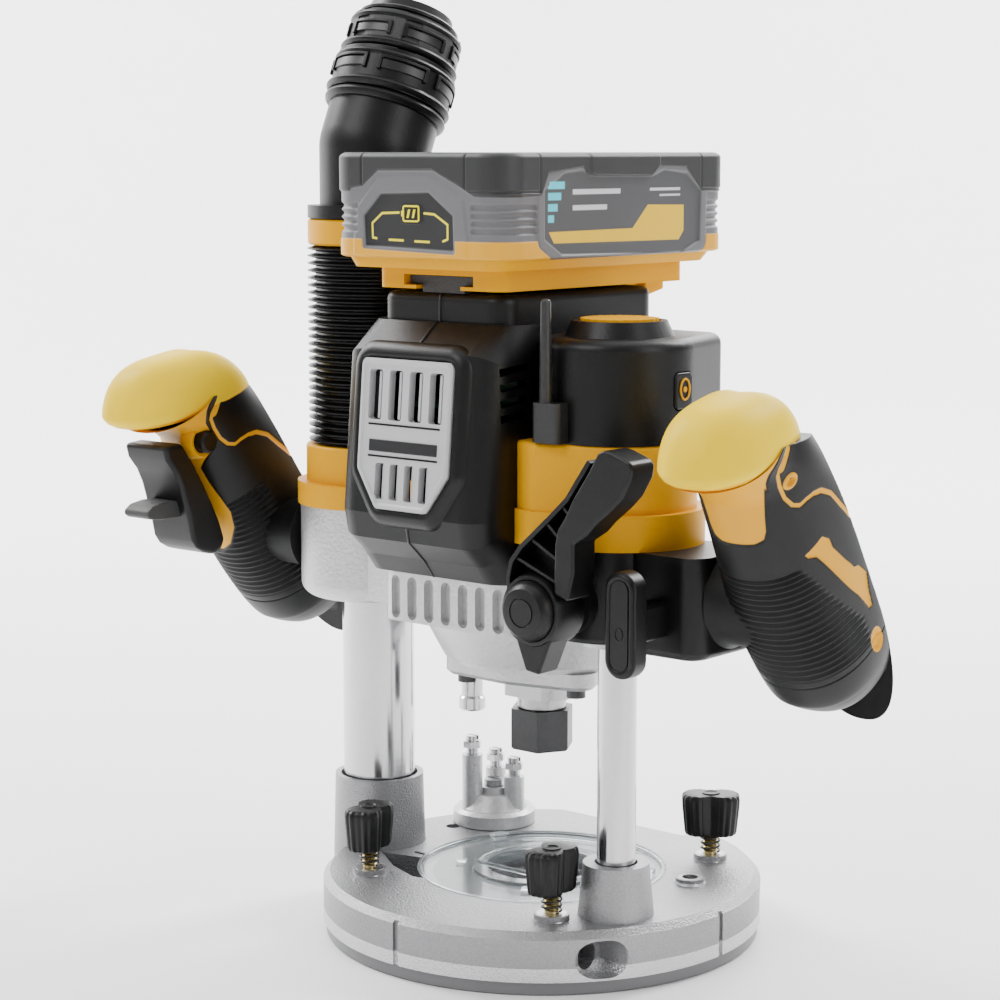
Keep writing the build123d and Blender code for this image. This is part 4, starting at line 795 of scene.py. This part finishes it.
def make_battery():
    ring = battery_outline()
    zs = np.concatenate([np.linspace(261.6, 297.2, 128), [297.8, 298.3, 298.7, 299.0, 299.1]])
    inset = np.concatenate([np.zeros(128), [0.25, 0.7, 1.3, 2.1, 3.2]])
    inset[:3] = (1.6, 0.7, 0.2)
    n = len(ring)
    x, y, nx, ny, face, p = (np.tile(ring[:, k], len(zs)) for k in range(6))
    z = np.repeat(zs, n)
    across = np.where((face == 0) | (face == 6) | (face == 4), x, y)
    front = face == 0
    side = (face == 1) | (face == 3)
    place = np.stack([np.where(front, x, y), z], axis=1)
    far = -20.0
    gauge = np.where(front, inside(place, GAUGE), far)
    surround = np.where(front, inside(place, SURROUND), far)
    label = np.where(side, inside(place, LABEL), far)
    stripe = np.where(side, inside(place, STRIPE), far)
    arch = np.full(len(z), far)
    arch[front] = 0.38 - np.min([near_line(place[front], a) for a in ARCH], axis=0)
    edge = np.where(front, np.interp(x, *zip(*FRONT_EDGE)), np.interp(y, *zip(*SIDE_EDGE)))
    edge = np.where(face == 4, 283.7, np.where(face == 6, 285.2, np.where(face == 5, 284.4, edge)))
    edge = np.where(face == 2, 286.0, edge)
    top = z - edge
    amber = np.minimum(268.3 - z, np.where(label > -30, -4.0 - label, 20.0))
    amber = np.minimum(amber, -1.2 - gauge)
    # level bars and short marks on the label
    u, w = place[:, 0], place[:, 1]
    cyan = np.full(len(z), far)
    for lo, hi, level in ((-48.0, -38.6, 287.6), (-48.0, -40.6, 283.7), (-48.0, -42.6, 279.8),
                          (-48.0, -44.6, 275.9)):
        bar = np.minimum(np.minimum(u - lo, hi - u), 1.3 - np.abs(w - level))
        cyan = np.maximum(cyan, np.where(side, bar, far))
    pale = np.full(len(z), far)
    for lo, hi, level, half in ((-34, -6, 285.2, 0.9), (-34, -14, 279.6, 0.9), (12, 31, 285.6, 0.5),
                                (18, 31, 283.4, 0.35)):
        mark = np.minimum(np.minimum(u - lo, hi - u), half - np.abs(w - level))
        pale = np.maximum(pale, np.where(side, mark, far))
    # moulded relief
    lift = 1.15 + 0.75 * step(top, -0.4, 0.7) + 0.35 * step(amber, -0.4, 0.5)
    lift += 0.35 * step(surround, -0.3, 0.9) * step(-top, 0, 0.5) - 0.9 * step(gauge, -0.5, 0.4)
    lift += 0.35 * step(label + 4.0, -0.3, 0.9) * step(-top, 0, 0.5) - 0.7 * step(label, -0.4, 0.5)
    wave = 0.5 - 0.5 * np.cos(2 * np.pi * (z - 270.4) / 2.75)
    zone = step(z, 269.8, 270.6) * step(282.0 - z, 0, 0.8) * step(p + 11.4, 0, 0.7) * step(20.8 - p, 0, 0.7)
    zone *= step(-label, 3.8, 4.4)
    lift -= 1.0 * zone * wave ** 0.7
    # corner pads cut into the cap, and a pad in the middle of each side
    pad = np.maximum(np.abs(p - 1.5) - 15.0, 285.4 - z)
    lift -= 0.55 * step(0.45 - np.abs(pad), 0, 0.35) * step(top, 0.2, 0.8)
    middle = np.where(side, np.abs(u + 4) - 21, 9.0)
    lift += 0.35 * step(-middle, 0, 0.8) * step(top, 0, 0.6)
    verts = np.stack([x + nx * (lift - np.repeat(inset, n)), y + ny * (lift - np.repeat(inset, n)), z],
                     axis=1)
    faces = ring_faces(len(zs), n)
    faces.append(tuple(range((len(zs) - 1) * n, len(zs) * n)))
    m = material("battery_skin", srgb(100, 100, 103), 0.5, vary=0.05, grain=1600, bump=0.04)
    for key, colour in (("cap", srgb(36, 36, 37)), ("amber", AMBER_RGB), ("gauge", srgb(26, 26, 28)),
                        ("label", srgb(70, 70, 73)), ("stripe", srgb(228, 184, 0)),
                        ("arch", srgb(255, 235, 20)),
                        ("cyan", srgb(70, 205, 225)), ("pale", srgb(205, 205, 208))):
        tone(m, key, colour, vary=0.06)
    obj = new_mesh("battery_skin", verts, faces, m, "battery", smooth=180)
    values = {"cap": top, "amber": amber, "gauge": gauge, "label": label, "stripe": stripe,
              "arch": arch, "cyan": cyan, "pale": pale}
    for key, value in values.items():
        attribute(obj, key, value)
    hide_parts("battery_cover")


make_battery()
# lugs under the pack
for sx in (-1, 1):
    prism(f"pack_lug_{'a' if sx < 0 else 'b'}", [(40, 244), (52, 246.5), (52, 252.5), (40, 252.5)], "YZ",
          13.9 * sx, 18.4 * sx, AMBER, "battery", bevel=0.7)
# charge button with its battery mark
GX, GZ = -1.4, 277.6
button = prism("gauge_plate", rrect(GX, GZ, 10.6, 7.6, 1.8, 8), "XZ", -72.75, -71.6, PANEL, "gauge",
               bevel=0.2)
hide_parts("gauge_button")
MARK = material("yellow_mark", srgb(255, 235, 20), 0.45, spec=0.3, vary=0.04, grain=1500, bump=0.02)
tube("gauge_mark_frame", [(GX + u, -72.78, GZ + w) for u, w in rrect(0, 0, 7.3, 5.3, 0.7, 5)], 0.36, MARK,
     "gauge",
     steps=8, closed=True)
blocks("gauge_mark_bars", [([(GX + u + k * d, y, GZ + k * 1.5) for y in (-73.0, -72.6)
                             for k, u in ((-1, -0.45 + c), (-1, 0.45 + c), (1, 0.45 + c), (1, -0.45 + c))],
                            BOX_FACES)
                           for c, d in ((-1.2, 0.4), (1.3, 0.4))] +
       [([(GX + u, y, GZ + w) for y in (-73.0, -72.6)
          for u, w in ((-4.6, -1.0), (-3.8, -1.0), (-3.8, 1.0), (-4.6, 1.0))],
         BOX_FACES)],
       MARK, "gauge", bevel=0.08)

# --- motor cover: bezel, grille details, seams ---------------------------------------------------------
TILT = math.radians(5)
UP = Vector((0, math.sin(TILT), math.cos(TILT)))
OUT = Vector((0, -math.cos(TILT), math.sin(TILT)))
FACE = Vector((0, -78.2, 170))


def on_face(p, h):
    """Point of the tilted front of the motor cover."""
    v = FACE + Vector((1, 0, 0)) * p[0] + UP * p[1] + OUT * h
    return (v.x, v.y, v.z)


GRILLE = round_poly([(-21.5, 56), (-21.5, 16), (-12, 2), (12, 2), (21.5, 16), (21.5, 56)], 3.2, 10)
ring_band("cover_bezel", GRILLE, on_face,
          [(0.3, -0.5), (0.3, 2.3), (1.1, 2.9), (2.4, 2.9), (3.9, 2.2), (5.4, 0.9), (6.4, -0.8),
           (6.4, -2.0),
           (0.3, -2.0)], BLACK, "carriage")
ring_band("grille_rim", GRILLE, on_face,
          [(-0.05, 3.2), (-0.5, 4.0), (-1.5, 4.1), (-2.2, 3.4), (-2.2, 2.8), (-0.05, 2.8)], LIGHT_GREY,
          "carriage")


def face_block(x0, x1, y0, y1, h0, h1):
    v = [on_face(p, h) for h in (h0, h1) for p in ((x0, y0), (x1, y0), (x1, y1), (x0, y1))]
    return v, BOX_FACES


blocks("grille_slats",
       [face_block(x - 0.6, x + 0.6, 34.5, 51.5, -1.0, 2.4) for x in (-13.2, -3.6, 6.0, 15.6)]
       + [face_block(x - 0.5, x + 0.5, 5.8, 18.2, -1.0, 2.4) for x in (-9.6, -2.6, 4.4, 11.4)],
       LIGHT_GREY, "carriage", bevel=0.25)
prism_lines = [face_block(-17.0, 17.0, 32.0, 32.7, 3.3, 3.6), face_block(-16.5, 16.5, 20.6, 21.3, 3.3, 3.6)]
blocks("grille_lines", prism_lines, BLACK, "carriage")
blocks("grille_strip", [face_block(-16.2, 16.2, 22.6, 26.9, 3.3, 3.75)], PANEL, "carriage", bevel=0.3)
tube("cover_seam",
     [(0, -22, 249.05), (0, -55.5, 249.05), (0, -58.8, 248.2), (0, -59.1, 245), (0, -59.1, 238.9),
                    (0, -60.8, 238.8), (0, -67, 234.0), (0, -73.3, 228.8), (0, -73.7, 226.5)], 0.42, PANEL,
     "carriage")
tube("cover_seam_low", [(0, -78.3, 169.4), (0, -76.5, 160.3), (0, -68.4, 152.9), (0, -62.9, 146.2)], 0.42,
     PANEL,
     "carriage")

# --- elbow: beads, slots and lugs of its two couplings -------------------------------------------------
BEND = math.radians(23)
E0 = Vector((-74.2, -12.4, 301.0))
EA = Vector((0, math.sin(BEND), math.cos(BEND)))


def bead(r, s, thick, tall):
    return [(r - thick, s - tall), (r + 0.2, s - tall * 0.9), (r + thick * 0.8, s - tall * 0.4),
            (r + thick, s + tall * 0.1), (r + thick * 0.7, s + tall * 0.6), (r, s + tall),
            (r - thick, s + tall)]


lathe("elbow_bead_low", bead(22.6, 14.6, 1.6, 2.2), E0, EA, BLACK, "elbow", steps=96)
lathe("elbow_bead_mid", bead(23.5, 18.9, 1.3, 1.7), E0, EA, BLACK, "elbow", steps=96)
lathe("elbow_bead_top", bead(23.3, 30.6, 1.0, 1.3), E0, EA, BLACK, "elbow", steps=96)
lathe("lock_ring_bead", bead(21.8, 35.6, 1.7, 1.9), E0, EA, BLACK, "elbow_ring", steps=96)
lathe("lock_ring_step", bead(21.7, 47.0, 0.8, 1.2), E0, EA, BLACK, "elbow_ring", steps=96)
blocks("elbow_slots", [arc_block(E0, EA, 23.3, 24.1, 24.2, 27.8, a, a + 42, 14) for a in range(0, 360, 60)],
       PANEL, "elbow", bevel=0.3)
blocks("elbow_slot_ends",
       [arc_block(E0, EA, 23.3, 24.7, 23.4, 28.6, a - 3.4, a, 4) for a in range(0, 360, 60)]
       + [arc_block(E0, EA, 23.3, 24.7, 23.4, 28.6, a + 42, a + 45.4, 4) for a in range(0, 360, 60)]
       + [arc_block(E0, EA, 23.3, 24.7, 28.2, 29.4, a - 3.4, a + 45.4, 14) for a in range(0, 360, 60)],
       BLACK, "elbow", bevel=0.3)
blocks("lock_ring_slots",
       [arc_block(E0, EA, 21.5, 22.2, 39.4, 42.6, a, a + 40, 14) for a in range(15, 375, 60)],
       PANEL, "elbow_ring", bevel=0.25)
blocks("lock_ring_lugs",
       [arc_block(E0, EA, 21.5, 22.9, 38.6, 43.4, a - 4, a, 4) for a in range(15, 375, 60)]
       + [arc_block(E0, EA, 21.5, 22.9, 38.6, 43.4, a + 40, a + 44, 4) for a in range(15, 375, 60)]
       + [arc_block(E0, EA, 21.5, 22.7, 43.0, 44.2, a - 4, a + 44, 14) for a in range(15, 375, 60)],
       BLACK, "elbow_ring", bevel=0.3)
lathe("mouth_step", [(17.5, 50.2), (19.7, 50.4), (19.9, 51.4), (19.0, 52.2), (17.5, 52.2)], E0, EA, BLACK,
      "elbow",
      steps=96)

# --- rod clamp knobs: head with ridged wings, brass screw, spring and boss ------------------------------
def knob_outline(scale=1.0):
    pts = []
    for k in range(180):
        a = 2 * math.pi * k / 180
        wing = 10.8 * abs(math.cos(a)) ** 1.6 + 5.2 * abs(math.sin(a)) ** 1.1
        ridge = 0.28 * math.cos(26 * a) * (1 if abs(math.cos(a)) > 0.45 else 0)
        r = wing + ridge
        pts.append((r * math.cos(a) * scale, r * math.sin(a) * (1.0 if scale > 0.9 else scale)))
    return pts


for k, (kx, ky) in enumerate(((-45, -50), (45, -50), (45, 50))):
    body = f"clamp_{k + 1}"
    turn = math.radians((108, 98, 36)[k])
    rows = []
    for z, s in ((33.6, 0.80), (34.0, 0.86), (35.2, 0.90), (45.5, 0.99), (47.9, 1.0), (49.1, 0.97),
                 (49.8, 0.89),
                 (49.9, 0.6)):
        rows.append([(kx + (x * math.cos(turn) - y * math.sin(turn)) * s,
                      ky + (x * math.sin(turn) + y * math.cos(turn)) * s,
                      z) for x, y in knob_outline()])
    head = loops(f"knob_head_{k + 1}", rows, BLACK, body, smooth=40)
    lathe(f"knob_dish_{k + 1}",
                 [(0.05, 0.15), (2.2, 0.15), (2.6, 0.5), (3.4, 0.5), (3.6, 0), (0.05, 0)],
                 (kx, ky, 49.85), (0, 0, 1), BLACK, body, steps=32)
    shank = [(0.05, 33.8), (2.7, 33.8)]
    for i in range(7):
        z = 33.4 - i * 1.05
        shank += [(2.95, z), (2.5, z - 0.5)]
    shank += [(2.5, 18.7), (0.05, 18.7)]
    lathe(f"knob_screw_{k + 1}", shank, (kx, ky, 0), (0, 0, 1), BRASS, body, steps=36)
    coil = [(kx + 3.55 * math.cos(t), ky + 3.55 * math.sin(t), 26.8 + 6.4 * t / (2 * math.pi * 3.2))
            for t in np.linspace(0, 2 * math.pi * 3.2, 130)]
    tube(f"knob_spring_{k + 1}", coil, 0.45, DARK_STEEL, body, steps=8)
    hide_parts(f"rod_clamp_knob_{k + 1}")
    lathe(f"knob_washer_{k + 1}", [(3.0, 25.75), (5.6, 25.75), (6.0, 25.2), (6.6, 23.6), (3.0, 23.6)],
          (kx, ky, 0),
          (0, 0, 1), STEEL, "base", steps=48)

# --- base: seat ring, marks and details of the clear insert ---------------------------------------------
lathe("insert_lip", [(46.6, 23.4), (47.0, 24.0), (48.2, 24.0), (48.6, 23.45), (48.4, 23.2), (46.8, 23.2)],
      (0, 0, 0),
      (0, 0, 1), CLEAR, "base", steps=120)
ring_d = [(24.5 * math.cos(a), 24.5 * math.sin(a) * (1 if math.sin(a) > -0.55 else 0.55 / abs(math.sin(a))),
           24.0)
          for a in np.linspace(0, 2 * math.pi, 120, endpoint=False)]
tube("insert_opening_rim", ring_d, 0.9, CLEAR, "base", steps=8, closed=True)
tube("insert_rib", [(40.5 * math.cos(a), 40.5 * math.sin(a), 23.6) for a in np.linspace(0.6, 2.5, 60)], 0.7,
     CLEAR,
     "base", steps=8)
blocks("insert_marks",
       [arc_block((0, 0, 0), (0, 0, 1), 30, 34, 23.2, 24.2, a, a + 7, 4) for a in (25, 115, 205, 295)]
       + [arc_block((0, 0, 0), (0, 0, 1), 40, 45, 23.2, 25.4, a, a + 9, 4) for a in (18, 148)], CLEAR,
       "base", bevel=0.3)
lathe("plain_hole_boss", [(3.1, 25.8), (4.6, 25.8), (5.2, 25.0), (5.9, 23.5), (3.1, 23.5)], (57.8, 18.4, 0),
      (0, 0, 1),
      CAST, "base", steps=48)
blocks("deck_mark",
       [([(-50, -18.6, 23.45), (-44, -18.6, 23.45), (-44, -17.0, 23.45), (-50, -17.0, 23.45),
                       (-50, -18.6, 23.9), (-44, -18.6, 23.9), (-44, -17.0, 23.9), (-50, -17.0, 23.9)],
                      BOX_FACES)],
       PANEL, "base", bevel=0.1)

# --- plunge lever: paddle, ribbed arm, hub and skirt ---------------------------------------------------
LX, LZ = 58.6, 143.0
PADDLE = [(69.0, 150.0), (69.0, 158.4), (69.3, 167.4), (70.3, 172.3), (73.4, 176.7), (76.9, 183.4),
          (82.8, 192.0),
          (86.0, 197.4), (87.3, 199.6), (89.9, 201.1), (93.7, 200.4), (101.0, 197.8), (102.2, 195.9),
          (101.6, 192.0),
          (97.7, 185.3), (92.9, 180.5), (86.9, 175.6), (83.0, 171.6), (77.4, 168.0), (77.5, 158.0),
          (75.0, 148.0)]
paddle = prism("lever_paddle", PADDLE, "XZ", -79.8, -67.0, BLACK, "lever", bevel=2.2, segments=4)
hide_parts("plunge_lever")
ARM = [(48.4, 146.0), (49.2, 154.2), (50.4, 158.8), (54.6, 163.8), (66.6, 174.4), (74.6, 181.8),
       (83.6, 195.8),
       (86.6, 198.4), (83.0, 191.0), (73.4, 176.2), (70.0, 170.5), (69.2, 158.0), (69.0, 146.0)]
prism("lever_back", ARM, "XZ", -71.5, -69.5, BLACK, "lever", bevel=0.4)
edge_path = [(48.0, 144.0), (48.0, 154.8), (49.1, 159.8), (53.3, 165.2), (65.7, 176.3), (73.4, 183.5),
             (82.9, 197.2)]
prism("lever_edge", edge_path + [(x + 1.5, z - 1.0) for x, z in reversed(edge_path)], "XZ", -79.4, -69.5,
      BLACK,
      "lever", bevel=0.3)
for i, (a, b) in enumerate((((50.8, 161.0), (68.6, 154.0)), ((57.6, 168.0), (69.0, 162.0)),
                            ((64.6, 174.2), (69.8, 169.6)), ((71.6, 180.6), (73.8, 178.2)))):
    d = (Vector(b) - Vector(a)).normalized()
    nrm = Vector((-d.y, d.x)) * 0.55
    quad = [tuple(Vector(a) + nrm), tuple(Vector(a) - nrm), tuple(Vector(b) - nrm), tuple(Vector(b) + nrm)]
    prism(f"lever_rib_{i + 1}", quad, "XZ", -78.4, -69.5, BLACK, "lever", bevel=0.15)
hub = [(4, -66), (13.2, -66), (13.2, -77.0), (12.2, -79.6), (11.0, -79.8), (10.6, -79.2), (10.6, -80.6),
       (9.6, -83.0),
       (8.2, -84.2), (5.2, -84.5), (5.1, -84.1), (4.7, -84.1), (4.6, -84.5), (0.05, -84.5), (0.05, -66)]
lathe("lever_hub", hub, (LX, 0, LZ), (0, 1, 0), BLACK, "lever", steps=96, smooth=28)
prism("lever_skirt", [(51.0, 132.5), (55.4, 121.4), (61.4, 120.6), (66.0, 131.5), (68.8, 136.4), (60, 140)],
      "XZ", -78.4,
      -67.5, BLACK, "lever", bevel=1.0)

# --- spindle lock button: bordered face and a small pointer mark ---------------------------------------
PX, PZ = 91.0, 140.5
BUTTON = rrect(PX, PZ, 13, 37, 6.4, 10)
lock_pad = prism("lock_pad", BUTTON, "XZ", -71.4, -64.2, BLACK, "spindle_lock", bevel=0.9)
ring_band("lock_pad_border", rrect(PX, PZ, 9.8, 33.6, 4.8, 10), lambda p, h: (p[0], -71.4 - h, p[1]),
          [(-0.9, -0.3), (-0.9, 0.25), (-0.45, 0.6), (0.45, 0.6), (0.9, 0.25), (0.9, -0.3)], BLACK,
          "spindle_lock")
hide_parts("spindle_lock_button")
prism("lock_pad_plate", rrect(PX, PZ, 7.4, 31.2, 3.6, 8), "XZ", -71.9, -71.2, BLACK, "spindle_lock",
      bevel=0.2)
tube("lock_pad_mark", [(PX + 1.6 * math.cos(a), -71.95, PZ - 3 + 2.2 * math.sin(a)) for a in
                       np.linspace(0, 2 * math.pi, 28, endpoint=False)], 0.28, BLACK, "spindle_lock",
     steps=8, closed=True)
prism("lock_pad_stem", [(PX - 4.3, 133.8), (PX + 4.3, 133.8), (PX + 4.3, 146.2), (PX - 4.3, 146.2)], "XZ",
      -64.4, -40.2,
      BLACK, "spindle_lock", bevel=1.2)

# --- pairing mark on the side housing --------------------------------------------------------------------
tube("pairing_mark", [(87.6, -30 + 2.6 * math.cos(a), 217.6 + 3.6 * math.sin(a)) for a in
                      np.linspace(0, 2 * math.pi, 40, endpoint=False)], 0.42, AMBER, "pairing", steps=8,
     closed=True)
blocks("pairing_dot", [arc_block((87.3, -30, 217.6), (1, 0, 0), 0.05, 1.0, 0, 0.5, 0, 359.9, 20)], AMBER,
       "pairing")

# --- bellows and plunge spring, reaching from the base up to the carriage, riding on no body -------------
low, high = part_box("bellows")
bellows_skin = bpy.data.objects.new("bellows_skin", NODES["bellows"].data.copy())
scene.collection.objects.link(bellows_skin)
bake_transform(bellows_skin)
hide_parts("bellows")

low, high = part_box("plunge_spring")
spring_x, spring_y = (low.x + high.x) / 2, (low.y + high.y) / 2
WIRE, TURNS = 0.6, 34
coil_radius = (high.x - low.x) / 2 / MM - WIRE
coil_low, coil_high = low.z / MM + WIRE, high.z / MM - WIRE
coil = [(spring_x / MM + coil_radius * math.cos(2 * math.pi * TURNS * s),
         spring_y / MM + coil_radius * math.sin(2 * math.pi * TURNS * s),
         coil_low + (coil_high - coil_low) * s) for s in np.linspace(0, 1, TURNS * 20)]
spring_coil = tube("plunge_coil", coil, WIRE, STEEL, None, steps=8)
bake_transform(spring_coil)
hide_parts("plunge_spring")
